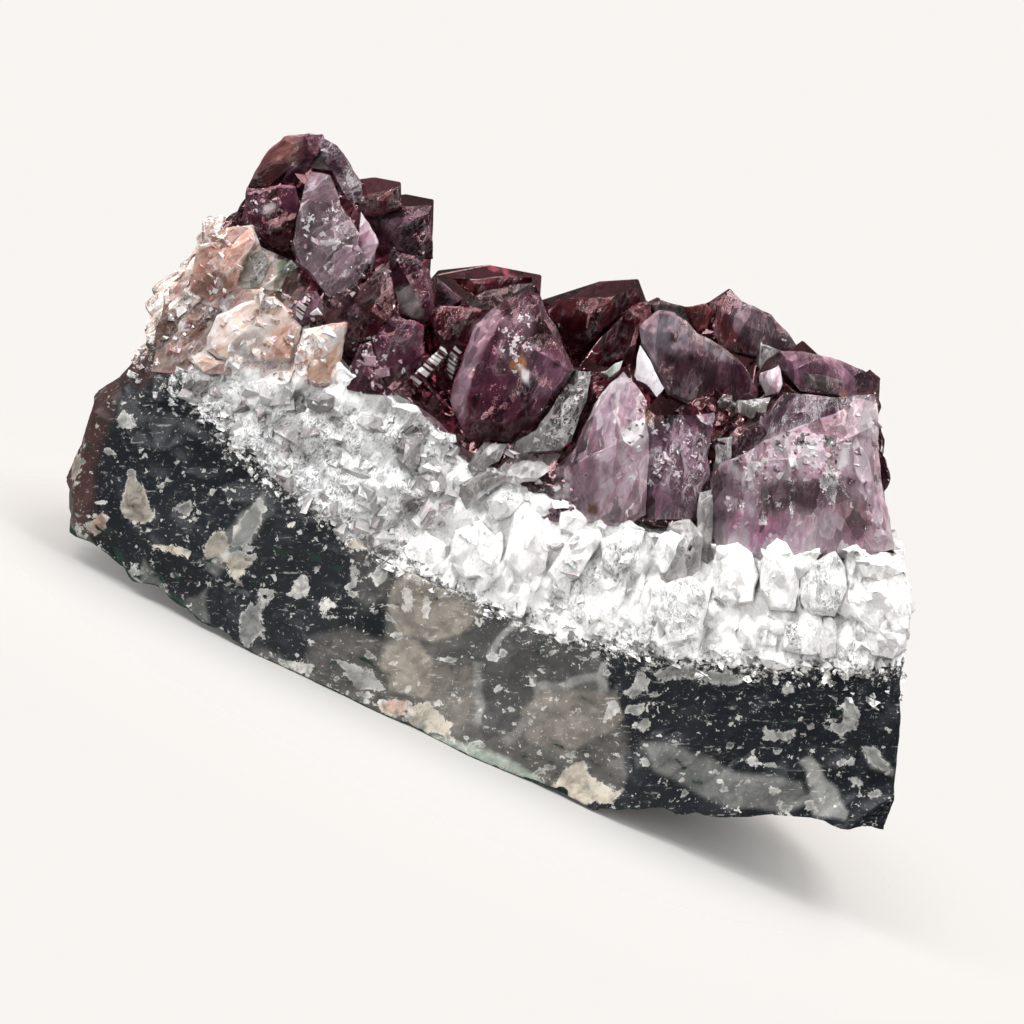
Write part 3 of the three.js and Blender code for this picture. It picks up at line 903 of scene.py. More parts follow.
# A strip along the band's foot is drawn down by the overlap, so that it reaches into the rock
BAND_OVERLAP = 0.8 * MM
BAND_STRIP = 0.8 * MM
BAND_PITCH = 0.7 * MM
BAND_LUMPS = {"kind": "VORONOI", "pitch": 2.8, "depth": -1.3, "middle": 0.45, "distance_metric": "MANHATTAN"}
BAND_GRAIN = {"kind": "VORONOI", "pitch": 1.2, "depth": -0.45, "middle": 0.45}
BAND_SMOOTH = 28

MILK_IOR = 1.54
MILK_WHITE = (0.9, 0.9, 0.88, 1)
MILK_GREY = (0.75, 0.76, 0.75, 1)
MILK_CREASE = (0.25, 0.255, 0.26, 1)
MILK_DIM = (0.6, 0.61, 0.61, 1)
MILK_BRIGHT = (0.9, 0.9, 0.89)
MILK_SHADE = (0.42, 0.43, 0.43)
MILK_SHADOW = (0.24, 0.25, 0.26)
CRACKLE_WHITE = (1.0, 1.0, 0.99, 1)

# Milky quartz: draw-out along the growth, scales and tilts of its facets, and how dark and light each are
# painted, as painted light and shade of the small faces
MILK_DRAW = (1.0, 1.0, 1.8)
MILK_FACETS = ((460.0, 1500.0), (0.5, 0.6))
MILK_SHADES = ((0.36, 0.85), (0.26, 0.95))

# Its noises, with scale, detail, roughness and twist, and its white lines, with scale, width and twist
MILK_CLOT = (380.0, 5.0, 0.62, 0.9)
MILK_GRAIN = (1900.0, 5.0, 0.75, 1.0)
MILK_SPECKLE = (1100.0, 4.0, 0.7)
MILK_CRACKLE = [(1000.0, 0.055, 1.5), (2300.0, 0.1, 1.0)]
SPECKLE_REACH = (BAND_FOOT_RADIUS - 3 * MM, BAND_FOOT_RADIUS + 1 * MM)

# Areas of the band, as outlines in picture pixels
LEFT_END = [(80, 190), (275, 190), (345, 320), (335, 385), (290, 378), (200, 366), (80, 375)]
LEFT_BAND = [
    (150, 375), (205, 378), (262, 386), (330, 408), (430, 425), (462, 455), (430, 520), (395, 555),
    (345, 540), (250, 482), (200, 425),
]
MIDDLE_BAND = [
    (400, 545), (450, 480), (560, 505), (700, 560), (720, 640), (640, 655), (520, 615), (450, 590),
]
RIGHT_BAND = [(720, 565), (900, 560), (908, 645), (870, 655), (725, 645)]

# Soft patches of the band: outline, tint, strength, softness in millimetres
BAND_PATCHES = [
    (LEFT_END, (0.42, 0.26, 0.2), 0.95, 1.0),
    ([(140, 365), (250, 375), (330, 395), (440, 415), (445, 470), (400, 545), (350, 545), (250, 485),
      (180, 425)], MILK_SHADOW, 0.9, 2.0),
    ([(235, 430), (300, 450), (360, 500), (380, 535), (330, 525), (260, 480)], MILK_SHADOW, 0.4, 1.6),
    ([(140, 370), (170, 360), (215, 400), (240, 450), (200, 440), (165, 410)], MILK_SHADOW, 0.55, 1.4),
    ([(430, 464), (448, 466), (472, 477), (500, 468), (511, 455), (563, 452), (550, 470), (533, 481),
      (504, 483), (480, 496), (448, 516), (430, 523)], MILK_SHADE, 0.7, 0.6),
    ([(540, 570), (600, 552), (655, 590), (660, 650), (600, 640), (550, 605)], MILK_SHADOW, 0.5, 1.2),
    ([(690, 585), (722, 600), (705, 655), (670, 655)], MILK_SHADOW, 0.45, 0.8),
    ([(730, 630), (830, 620), (870, 640), (880, 660), (800, 668), (730, 655)], MILK_SHADE, 0.5, 1.0),
    ([(820, 645), (870, 645), (880, 665), (800, 668)], MILK_SHADOW, 0.5, 0.8),
    ([(808, 562), (850, 560), (850, 612), (815, 615)], MILK_SHADE, 0.6, 0.8),
    ([(428, 528), (445, 525), (452, 538), (440, 545), (428, 540)], MILK_SHADOW, 0.8, 0.4),
    ([(620, 625), (655, 618), (658, 662), (625, 650)], MILK_SHADOW, 0.8, 0.6),
    ([(400, 540), (450, 510), (560, 535), (550, 615), (500, 610), (440, 585)], MILK_BRIGHT, 0.9, 1.2),
    ([(720, 560), (800, 560), (812, 620), (800, 645), (730, 640)], MILK_BRIGHT, 0.9, 1.2),
    ([(850, 560), (905, 560), (912, 640), (880, 655), (850, 620)], MILK_BRIGHT, 0.9, 1.2),
]


def broken_normal(tree, lines, scales, tilts):
    """A normal that is split into flat patches at several scales, with the patches' shades and edges."""
    normal = add(tree, "ShaderNodeNewGeometry").outputs["Normal"]
    for scale, tilt in zip(scales, tilts):
        found = use(tree, FACETS, Vector=lines, Scale=scale, Tilt=tilt, Normal=normal)
        normal = found["Normal"]
        yield found


def milky_material():
    material, tree, shader = new_material("milky quartz", IOR=MILK_IOR)
    place = object_place(tree)
    lines = use(tree, GROWTH, Vector=place)
    drawn = stretched(tree, lines, MILK_DRAW)
    broad, fine = broken_normal(tree, drawn, *MILK_FACETS)
    clot = cloud(tree, place, *MILK_CLOT)
    colour = blend(tree, spread(tree, clot, 0.3, 0.55), MILK_GREY, MILK_WHITE)
    colour, _, _ = painted(tree, colour, "stain")
    # Painted light and shade: each facet made lighter or darker, as if it were turned towards the light or
    # away from it
    for facets, (dark, light) in zip((broad, fine), MILK_SHADES):
        colour = shaded(tree, 0.8, colour, facets["Shade"], 0, 1, dark, light)

    # White crackle, grey grain, smoky speckles at the foot, and creases
    crackle = larger(tree, *[wisps(tree, drawn, *values) for values in MILK_CRACKLE])
    pale = blend(tree, 0.9, colour, CRACKLE_WHITE)
    colour = blend(tree, times(tree, crackle, spread(tree, clot, 0.3, 0.55, 0.4, 1.0)), colour, pale)
    grain = spread(tree, cloud(tree, drawn, *MILK_GRAIN), 0.5, 0.34, 0.0, 0.6)
    colour = blend(tree, grain, colour, MILK_DIM, "MULTIPLY")
    foot = spread(tree, split(tree, lines)["Z"], *SPECKLE_REACH, -0.16, 0.08)
    speckle = plus(tree, cloud(tree, place, *MILK_SPECKLE), foot)
    colour = blend(tree, spread(tree, speckle, 0.56, 0.66, 0.0, 0.85), colour, (*SMOKE_DEEP, 1))
    crease = times(tree, broad["Edge"], spread(tree, clot, 0.45, 0.65, 0.0, 0.4))
    colour = blend(tree, crease, colour, MILK_CREASE)

    rough = spread(tree, broad["Shade"], 0, 1, 0.12, 0.45)
    normal = bump(tree, crackle, 0.05 * MM, 0.6, fine["Normal"])
    feed(tree, shader, Base_Color=colour, Roughness=rough, Normal=normal)
    return material


def make_band(material):
    band = from_node("milky_quartz_band", "milky_quartz")
    for point in band.data.vertices:
        if growth_radius(point.co) > BAND_FOOT_RADIUS - BAND_STRIP:
            point.co -= growth_direction(point.co) * BAND_OVERLAP
    refine(band, BAND_PITCH)
    relief(band, **BAND_LUMPS)
    relief(band, **BAND_GRAIN)
    paint(band, "stain", BAND_PATCHES, around=True)
    smooth(band, BAND_SMOOTH)
    return finish_piece(band, material, "milky_quartz", "milky_quartz_band")


# A column: sides, height of its foot, the shift and narrowing of each step of its tip, and its bevel
COLUMN_SIDES = 6
COLUMN_FOOT = 0.6
COLUMN_TIP = [((0, 0, 0.24), (0.66, 0.66, 1)), ((0.06, 0, 0.16), (0.28, 0.4, 1))]
COLUMN_BEVEL = 0.06
TOP_TURN = 0.9

# A chunk: the side of the cube that it comes from, and how far its corners are shaken
CHUNK_SIDE = 0.7
CHUNK_SHAKE = 0.34

# Places on the walls: the length of a round, and the distance that they are looked for from, in millimetres.
# The radius sets the height at the first share of that distance, and the look is towards the other two.
WALL_ROUND = 260
WALL_DISTANCE = 120
WALL_ACROSS = 0.33
WALL_AIM = (0.24, 0.06)

# Standing crystals: their lean, how much of the width is sunk, and their depth for their width
STAND_LEAN = 0.16
STAND_SINK = (0.1, 0.4)
STAND_DEPTH = (0.6, 1.0)

# Lying lumps: depth and height for their width, and how much of it is sunk
LUMP_DEPTH = (0.5, 1.0)
LUMP_HEIGHT = (0.3, 0.8)
LUMP_SINK = 0.15
LUMP_MODELS = 6


def column_model():
    """One blunt six-sided crystal, a unit wide and a unit high, standing on the origin."""
    middle = (0, 0, COLUMN_FOOT / 2)
    bpy.ops.mesh.primitive_cylinder_add(vertices=COLUMN_SIDES, radius=0.5, depth=COLUMN_FOOT, location=middle)
    column = bpy.context.object
    select_faces(column, lambda centre, normal: normal.z > TOP_TURN)
    for shift, narrowing in COLUMN_TIP:
        bpy.ops.mesh.extrude_region_move(TRANSFORM_OT_translate={"value": shift})
        bpy.ops.transform.resize(value=narrowing)
    bpy.ops.mesh.select_all(action="SELECT")
    bpy.ops.mesh.bevel(offset=COLUMN_BEVEL, segments=1, affect="EDGES")
    leave_edit()
    apply_modifier(column, "SUBSURF", levels=1, render_levels=1)
    return column


def chunk_model(seed):
    """An uneven shard with flat faces, about a unit wide."""
    bpy.ops.mesh.primitive_cube_add(size=CHUNK_SIDE, location=(0, 0, 0))
    chunk = bpy.context.object
    edit(chunk, "SELECT", "VERT")
    bpy.ops.transform.vertex_random(offset=CHUNK_SHAKE, seed=seed)
    bpy.ops.mesh.convex_hull()
    leave_edit()
    return chunk


def wall_places(surface, draw, spacing, low_radius, high_radius, rounds):
    """Places spread over the outer walls between two radii from the growth axis, found from outside."""
    places = []
    steps = int(WALL_ROUND * MM / spacing)
    for _ in range(rounds):
        for step in range(steps):
            angle = 2 * math.pi * (step + draw.random()) / steps
            radius = draw.uniform(low_radius, high_radius)
            outer = Vector((math.cos(angle), math.sin(angle), 0)) * WALL_DISTANCE * MM
            x = outer.x * WALL_ACROSS
            height = GROWTH_AXIS.z - math.sqrt(max(radius**2 - (x - GROWTH_AXIS.x) ** 2, 0))
            start = Vector((outer.x, outer.y, height))
            aim = Vector((outer.x * WALL_AIM[0], outer.y * WALL_AIM[1], height)) - start
            place, normal, _, _ = surface.ray_cast(start, aim.normalized())
            if place:
                places.append((place, normal))
    return places


def stand_up(model, place, normal, width, length, back, draw):
    """A copy of a crystal that grows at a place, sunk into it, with its size in millimetres."""
    lean = Vector([draw.uniform(-STAND_LEAN, STAND_LEAN) for _ in range(3)])
    axis = (growth_direction(place) + lean).normalized()
    foot = place - axis * length * back * MM - normal * width * MM * draw.uniform(*STAND_SINK)
    size = Vector((width, width * draw.uniform(*STAND_DEPTH), length)) * MM
    return place_copy(model, standing(foot, axis, draw.uniform(0, math.pi), size))


def lay_down(model, place, normal, size, draw):
    """A copy of a lump partly sunk at a place, turned at random, with its size in millimetres."""
    axis = Vector([draw.uniform(-1, 1) for _ in range(3)]).normalized()
    shape = Vector((size, size * draw.uniform(*LUMP_DEPTH), size * draw.uniform(*LUMP_HEIGHT))) * MM
    return place_copy(model, standing(place - normal * size * LUMP_SINK * MM, axis, 0, shape))


# Crystals of the band, by where they stand: the two ends of a line of feet in pixels, how many crystals,
# and their width and length in millimetres
COLUMN_STANDS = {
    "right": {"feet": [(735, 640), (880, 645)], "count": 7, "width": (1.6, 3.0), "length": (3, 5)},
    "middle": {"feet": [(430, 570), (700, 645)], "count": 12, "width": (1.0, 2.4), "length": (3, 5)},
    "middle rows": {"feet": [(470, 552), (700, 620)], "count": 12, "width": (1.0, 2.2), "length": (3, 5)},
}

# All columns: seed, shake of their feet in pixels, and the share of their length that is sunk
COLUMN_SEED = 4
COLUMN_SHAKE = 12
COLUMN_BACK = 0.1

# Crystals all round the walls: spacing, lowest and highest radius, and rounds, then sizes in millimetres
WALL_COLUMNS = (3.2 * MM, 65.5 * MM, 74 * MM, 3)
WALL_WIDTH = (1.3, 3.2)
WALL_LENGTH = (3.5, 7.5)
WALL_ROOM = 1.3
WALL_BACK = 0.3

# They stand behind the first depth, and at the left end behind the second
WALL_FRONT = -14 * MM
LEFT_FRONT = -10 * MM

# Crumbs: spacing, lowest and highest radius, and rounds, then the size in millimetres
CRUMB_PLACES = (0.75 * MM, 74.4 * MM, 77.6 * MM, 3)
CRUMB_SIZE = (0.3, 1.5)
CRUMB_SEED = 8
CRUMB_SHAPE = 3


def make_columns(material, band):
    draw = random.Random(COLUMN_SEED)
    model = column_model()
    surface = surface_of(band)
    columns = []
    for stand in COLUMN_STANDS.values():
        first, last = (Vector(pixel) for pixel in stand["feet"])
        for i in range(stand["count"]):
            pixel = first.lerp(last, (i + draw.uniform(0.1, 0.9)) / stand["count"])
            shake = Vector((0, draw.uniform(-COLUMN_SHAKE, COLUMN_SHAKE)))
            place, normal = seen_at(pixel + shake, surface)
            if place:
                width, length = (draw.uniform(*stand[side]) for side in ("width", "length"))
                columns.append(stand_up(model, place, normal, width, length, COLUMN_BACK, draw))
    for place, normal in wall_places(surface, draw, *WALL_COLUMNS):
        hidden = depth_inside(LEFT_END, to_pixels(np.array([place])))[0] < 0 or place.y > LEFT_FRONT
        if hidden and place.y > WALL_FRONT:
            room = max(1.0, (growth_radius(place) - BAND_TOP_RADIUS) / MM)
            width, length = draw.uniform(*WALL_WIDTH), min(WALL_ROOM * room, draw.uniform(*WALL_LENGTH))
            columns.append(stand_up(model, place, normal, width, length, WALL_BACK, draw))
    bpy.data.objects.remove(model)
    row = join_all(columns, "quartz_columns")
    paint(row, "stain", BAND_PATCHES, MILK_WHITE[:3], True)
    return finish_piece(row, material, "milky_quartz")


def first_seen(pixel, surfaces):
    """The nearest place at a pixel on any of the surfaces, and its normal."""
    hits = [seen_at(pixel, surface) for surface in surfaces]
    hits = [hit for hit in hits if hit[0]]
    return min(hits, key=lambda hit: (hit[0] - CAMERA_PLACE).length) if hits else (None, None)


def make_lumps(name, material, slot, surfaces, areas, seed):
    """Broken lumps over areas of the front: outline, how many, sizes in millimetres, tints to draw from."""
    draw = random.Random(seed)
    models = [chunk_model(seed + i) for i in range(LUMP_MODELS)]
    lumps = []
    for outline, count, sizes, tints in areas:
        for _ in range(count):
            place, normal = first_seen(spot_inside(outline, draw), surfaces)
            if place:
                lump = lay_down(draw.choice(models), place, normal, draw.triangular(*sizes, sizes[0]), draw)
                paint(lump, "stain", [], ground=draw.choice(tints))
                lumps.append(lump)
    for model in models:
        bpy.data.objects.remove(model)
    return finish_piece(join_all(lumps, name), material, slot)


def make_crumbs(material, rock, band):
    """White crumbs along the line where the band breaks into the rock."""
    draw = random.Random(CRUMB_SEED)
    model = chunk_model(CRUMB_SHAPE)
    crumbs = []
    for piece in (rock, band):
        for place, normal in wall_places(surface_of(piece), draw, *CRUMB_PLACES):
            crumbs.append(lay_down(model, place, normal, draw.uniform(*CRUMB_SIZE), draw))
    bpy.data.objects.remove(model)
    piece = join_all(crumbs, "white_crumbs")
    paint(piece, "stain", BAND_PATCHES, around=True)
    return finish_piece(piece, material, "milky_quartz")


# Amethyst: clear purple points, frosted where the front was broken

ABSORPTION = (0.64, 0.42, 0.5, 1)
ABSORPTION_DENSITY = 250.0
QUARTZ_IOR = 1.544
WARM_GLOSS = (1.0, 0.55, 0.58, 1)
WATER_WHITE = (0.97, 0.96, 0.96, 1)
CRACK_WHITE = (0.95, 0.92, 0.93, 1)
LILAC_PALE = (0.76, 0.62, 0.68)
LILAC = (0.39, 0.255, 0.315)
LILAC_MID = (0.56, 0.4, 0.47)
MAUVE = (0.19, 0.095, 0.14)
PURPLE = (0.072, 0.02, 0.038)
MAROON = (0.035, 0.004, 0.008)
GREY_MAUVE = (0.13, 0.09, 0.11)
RED_BROWN = (0.16, 0.03, 0.03)
SLATE = (0.085, 0.07, 0.07)
CLEAR_GREY = (0.42, 0.41, 0.4)
CLEAR_PALE = (0.8, 0.8, 0.79)
DARK_GREY = (0.26, 0.25, 0.25)
GREEN_GREY = (0.36, 0.35, 0.31)
CREAM_PALE = (0.6, 0.43, 0.375)
CREAM_SHADE = (0.46, 0.32, 0.275)
PEACH = (0.36, 0.185, 0.14)
# The white of painted highlights, also used for a few small white crystals
GLINT = (1.0, 0.98, 0.99)
SOOT = (0.012, 0.008, 0.006)
RUST = (0.12, 0.045, 0.015)
AMBER = (0.6, 0.3, 0.12)

# Walls that the cluster was broken to, in millimetres. The front is drawn in at the left, the right slopes
WALL_TURN = 0.35
FRONT_WALL = -17.4
FRONT_DRAW = 4.5
FRONT_REACH = 40
FRONT_CURVE = 6
LEFT_WALL = -33.5
RIGHT_WALL = 45.5
RIGHT_SLOPE = 0.54
BACK_WALL = 14.5

# Points: bevel in per cent, on edges that turn by more than so many degrees, and the relief of broken faces
POINT_BEVEL = 3.5
POINT_TURN = 24
POINT_PITCH = 0.8 * MM
BROKEN = {"group": "broken", "middle": 0.4}
POINT_BREAKS = {"kind": "VORONOI", "pitch": 3.6, "depth": -1.2, **BROKEN}
POINT_GRAIN = {"kind": "VORONOI", "pitch": 1.5, "depth": -0.15, "distance_metric": "MANHATTAN", **BROKEN}

# Clear points: draw-out, scales and tilt of the broken faces' facets, veils, roughness, and lines along them
POINT_DRAW = (1.0, 1.0, 2.2)
POINT_FACETS = (330.0, 1100.0)
POINT_TILT = 0.7
POINT_VEIL = (240.0, 5.0, 0.62, 0.8)
POINT_ROUGHNESS = 0.015
LINES_DRAW = (8.0, 8.0, 1.0)
LINES_NOISE = (2600.0, 2.0, 0.5)

# Broken crystals: draw-out along the growth, scales of their facets, and how dark and light these are
# painted, as painted light and shade of the small faces
CRYSTAL_DRAW = (1.0, 1.0, 2.4)
CRYSTAL_FACETS = (230.0, 640.0, 1800.0)
CRYSTAL_SHADES = ((0.2, 0.8), (0.15, 0.8))

# Their noises, with scale, detail, roughness and twist, and their torn lines, with scale, width and twist
CRYSTAL_VEIL = (300.0, 5.0, 0.62, 0.9)
CRYSTAL_FIBRE = (1500.0, 5.0, 0.7, 1.0)
CRYSTAL_WISPS = (1100.0, 0.025, 1.6)

# Sparks in them, which are painted highlights, as a share of their cells outside and inside the areas of
# painted highlights, and dark dots
SPARKS = {"Scale": 1700.0, "Size": 0.7, "Ragged": 2.0}
SPARK_SHARE = (0.012, 0.7)
SPARK_PINK = (1.0, 0.72, 0.8, 1)
DOTS = {"Scale": 620.0, "Share": 0.1, "Size": 0.4, "Ragged": 1.5}

# Stripes of a growth face: scale, turn and draw-out
STRIPE_SCALE = 3200.0
STRIPE_TURN = math.radians(12)
STRIPE_DRAW = (30.0, 30.0, 1.0)

# Finishes of the broken crystals, by their materials' names
FINISHES = {
    "frosted amethyst": {
        "transmission": 0.55, "cracks": 0.45, "tilt": 0.7, "rough": (0.03, 0.2), "shine": 0.4,
    },
    "deep amethyst": {
        "transmission": 0.5, "cracks": 0.16, "tilt": 0.4, "rough": (0.02, 0.1), "shine": 0.2,
        "gloss": WARM_GLOSS,
    },
    "clear grey quartz": {"transmission": 0.5, "cracks": 0.8, "tilt": 0.7, "rough": (0.03, 0.2)},
    "cream quartz": {"transmission": 0.25, "cracks": 0.7, "tilt": 0.6, "rough": (0.1, 0.4)},
}


def is_broken(centre, normal):
    """True on the walls that the cluster was broken to: front, left, right and back."""
    x, y, z = centre / MM
    drawn_in = FRONT_DRAW * max(0.0, -x / FRONT_REACH) ** FRONT_CURVE
    front = normal.y < -WALL_TURN and y < FRONT_WALL + drawn_in
    left = normal.x < -WALL_TURN and x < LEFT_WALL
    right = normal.x > WALL_TURN and x + RIGHT_SLOPE * z > RIGHT_WALL
    back = normal.y > WALL_TURN and y > BACK_WALL
    return front or left or right or back


def amethyst_material():
    values = {"Transmission_Weight": 1.0, "Specular_IOR_Level": 0.3, "Specular_Tint": WARM_GLOSS}
    material, tree, shader = new_material("amethyst", IOR=QUARTZ_IOR, **values)
    place = object_place(tree)
    lines = use(tree, GROWTH, Vector=place)
    broken = add(tree, "ShaderNodeAttribute", attribute_name="broken").outputs["Fac"]
    tilt = times(tree, broken, POINT_TILT)
    _, fine = broken_normal(tree, stretched(tree, lines, POINT_DRAW), POINT_FACETS, (tilt, tilt))
    veil = cloud(tree, place, *POINT_VEIL)
    haze = times(tree, broken, spread(tree, veil, 0.4, 0.62, 0.0, 0.7))
    colour = blend(tree, haze, WATER_WHITE, (*LILAC, 1))
    edge = times(tree, times(tree, fine["Edge"], broken), spread(tree, veil, 0.4, 0.6, 0, 0.7))
    colour = blend(tree, edge, colour, CRACK_WHITE)
    frost = times(tree, broken, spread(tree, fine["Shade"], 0, 1, 0.03, 0.2))
    rough = plus(tree, POINT_ROUGHNESS, frost)
    lined = cloud(tree, stretched(tree, lines, LINES_DRAW), *LINES_NOISE)
    normal = bump(tree, lined, 0.012 * MM, 0.5, fine["Normal"])
    feed(tree, shader, Base_Color=colour, Roughness=rough, Normal=normal)
    absorb = add(tree, "ShaderNodeVolumeAbsorption", {"Color": ABSORPTION, "Density": ABSORPTION_DENSITY})
    tree.links.new(absorb.outputs[0], tree.nodes["Material Output"].inputs["Volume"])
    return material


def crystal_material(name, transmission, cracks, tilt, rough, shine=0.5, gloss=(1, 1, 1, 1)):
    """Broken crystal in its own tints: small glassy faces painted lighter and darker as painted light and
    shade, with white cracks, painted glints and inclusions.
    """
    values = {"Transmission_Weight": transmission, "Specular_IOR_Level": shine, "Specular_Tint": gloss}
    material, tree, shader = new_material(name, IOR=QUARTZ_IOR, **values)
    place = object_place(tree)
    drawn = stretched(tree, use(tree, GROWTH, Vector=place), CRYSTAL_DRAW)
    broad, middling, fine = broken_normal(tree, drawn, CRYSTAL_FACETS, (tilt, tilt, 0.5 * tilt))
    veil = cloud(tree, place, *CRYSTAL_VEIL)
    fibre = cloud(tree, drawn, *CRYSTAL_FIBRE)
    colour, _, _ = painted(tree, (*LILAC, 1), "stain")
    # Painted light and shade: each facet made lighter or darker, as if it were turned towards the light or
    # away from it
    for facets, (dark, light) in zip((broad, middling), CRYSTAL_SHADES):
        colour = shaded(tree, 0.7, colour, facets["Shade"], 0, 1, dark, light)
    colour = shaded(tree, 0.4, colour, fibre, 0.3, 0.7, 0.1, 0.9)

    # White torn edges and lines, sparks that are painted highlights in white and pink, and dark dots
    torn = larger(tree, fine["Edge"], middling["Edge"], wisps(tree, drawn, *CRYSTAL_WISPS))
    torn = times(tree, torn, spread(tree, veil, 0.42, 0.66, 0.0, cracks))
    colour = blend(tree, torn, colour, CRACK_WHITE)
    glow = add(tree, "ShaderNodeAttribute", attribute_name="glints").outputs["Alpha"]
    share = spread(tree, glow, 0, 1, *SPARK_SHARE)
    sparks = use(tree, SPECKS, Vector=place, Share=share, **SPARKS)
    sheen = blend(tree, spread(tree, fine["Shade"], 0.6, 0.9), (*GLINT, 1), SPARK_PINK)
    colour = blend(tree, sparks, colour, sheen)
    colour = blend(tree, use(tree, SPECKS, Vector=place, **DOTS), colour, (*SOOT, 1))

    roughness = spread(tree, fine["Shade"], 0, 1, *rough)
    normal = bump(tree, fibre, 0.08 * MM, 0.6, fine["Normal"])
    feed(tree, shader, Base_Color=colour, Roughness=roughness, Normal=normal)
    return material


def striped_material():
    """A growth face with bright and dark steps across it."""
    material, tree, shader = new_material("striped growth face", IOR=QUARTZ_IOR, Roughness=0.12)
    steps = cloud(tree, stretched(tree, object_place(tree), STRIPE_DRAW, STRIPE_TURN), STRIPE_SCALE, 2.0)
    colour = blend(tree, spread(tree, steps, 0.45, 0.55), (*MAROON, 1), (*CLEAR_GREY, 1))
    feed(tree, shader, Base_Color=colour, Normal=bump(tree, steps, 0.04 * MM))
    return material


# Large white crystals of the band: outline, pixel of the highest spot, its height in millimetres, tint
TEETH = [
    ([(712, 562), (720, 546), (738, 541), (752, 553), (759, 575), (753, 602), (730, 608), (714, 598)],
     (735, 560), 1.3, MILK_BRIGHT),
    ([(761, 562), (767, 546), (777, 537), (788, 542), (796, 560), (800, 585), (795, 612), (770, 610),
      (759, 590)], (780, 555), 1.5, MILK_BRIGHT),
    ([(800, 577), (815, 560), (836, 551), (846, 565), (848, 590), (835, 617), (812, 617), (800, 602)],
     (830, 572), 1.0, MILK_SHADE),
    ([(835, 612), (843, 590), (860, 575), (875, 565), (894, 560), (908, 575), (912, 600), (910, 640),
      (893, 645), (870, 640), (858, 622)], (885, 590), 1.6, MILK_BRIGHT),
    ([(862, 628), (880, 612), (906, 620), (908, 650), (893, 661), (870, 656)], (885, 630), 1.0,
     MILK_BRIGHT),
    ([(853, 560), (880, 555), (897, 556), (905, 572), (880, 582), (862, 576)], (880, 562), 0.9,
     MILK_BRIGHT),
    ([(786, 622), (812, 618), (818, 640), (802, 656), (780, 651)], (800, 632), 1.1, MILK_SHADE),
    ([(758, 657), (785, 650), (792, 668), (766, 674)], (775, 660), 1.0, MILK_BRIGHT),
    ([(483, 502), (500, 486), (520, 484), (526, 500), (512, 517), (490, 522)], (505, 498), 1.0,
     MILK_SHADE),
    ([(512, 512), (523, 499), (541, 515), (549, 540), (546, 570), (525, 582), (504, 560)], (530, 530),
     1.2, MILK_BRIGHT),
    ([(547, 572), (575, 530), (598, 521), (603, 540), (582, 572), (560, 592)], (585, 540), 1.0,
     MILK_BRIGHT),
    ([(560, 512), (575, 507), (591, 519), (576, 536), (559, 530)], (575, 518), 0.8, MILK_BRIGHT),
    ([(654, 547), (658, 535), (671, 526), (689, 532), (691, 555), (677, 569), (663, 578), (655, 566)],
     (675, 540), 1.4, MILK_BRIGHT),
    ([(600, 540), (625, 528), (645, 530), (640, 560), (615, 575), (602, 565)], (625, 545), 0.7,
     MILK_SHADE),
    ([(455, 530), (480, 520), (500, 540), (495, 575), (465, 580), (448, 560)], (475, 545), 0.9,
     MILK_BRIGHT),
    ([(660, 585), (690, 575), (712, 590), (700, 640), (670, 645), (655, 615)], (685, 600), 0.9,
     MILK_SHADE),
    ([(400, 548), (425, 530), (448, 545), (445, 575), (420, 578)], (425, 548), 0.8, MILK_BRIGHT),
]


def make_amethyst(material):
    points = from_node("amethyst_crystals", "amethyst_points")
    mark_faces(points, "broken", is_broken)
    apply_modifier(
        points,
        "BEVEL",
        offset_type="PERCENT",
        width_pct=POINT_BEVEL,
        segments=1,
        limit_method="ANGLE",
        angle_limit=math.radians(POINT_TURN),
        use_clamp_overlap=False,
    )
    refine(points, POINT_PITCH, "broken")
    group_of_marked(points, "broken", "broken")
    relief(points, **POINT_BREAKS)
    relief(points, **POINT_GRAIN)
    return finish_piece(points, material, "amethyst", "amethyst_crystals")


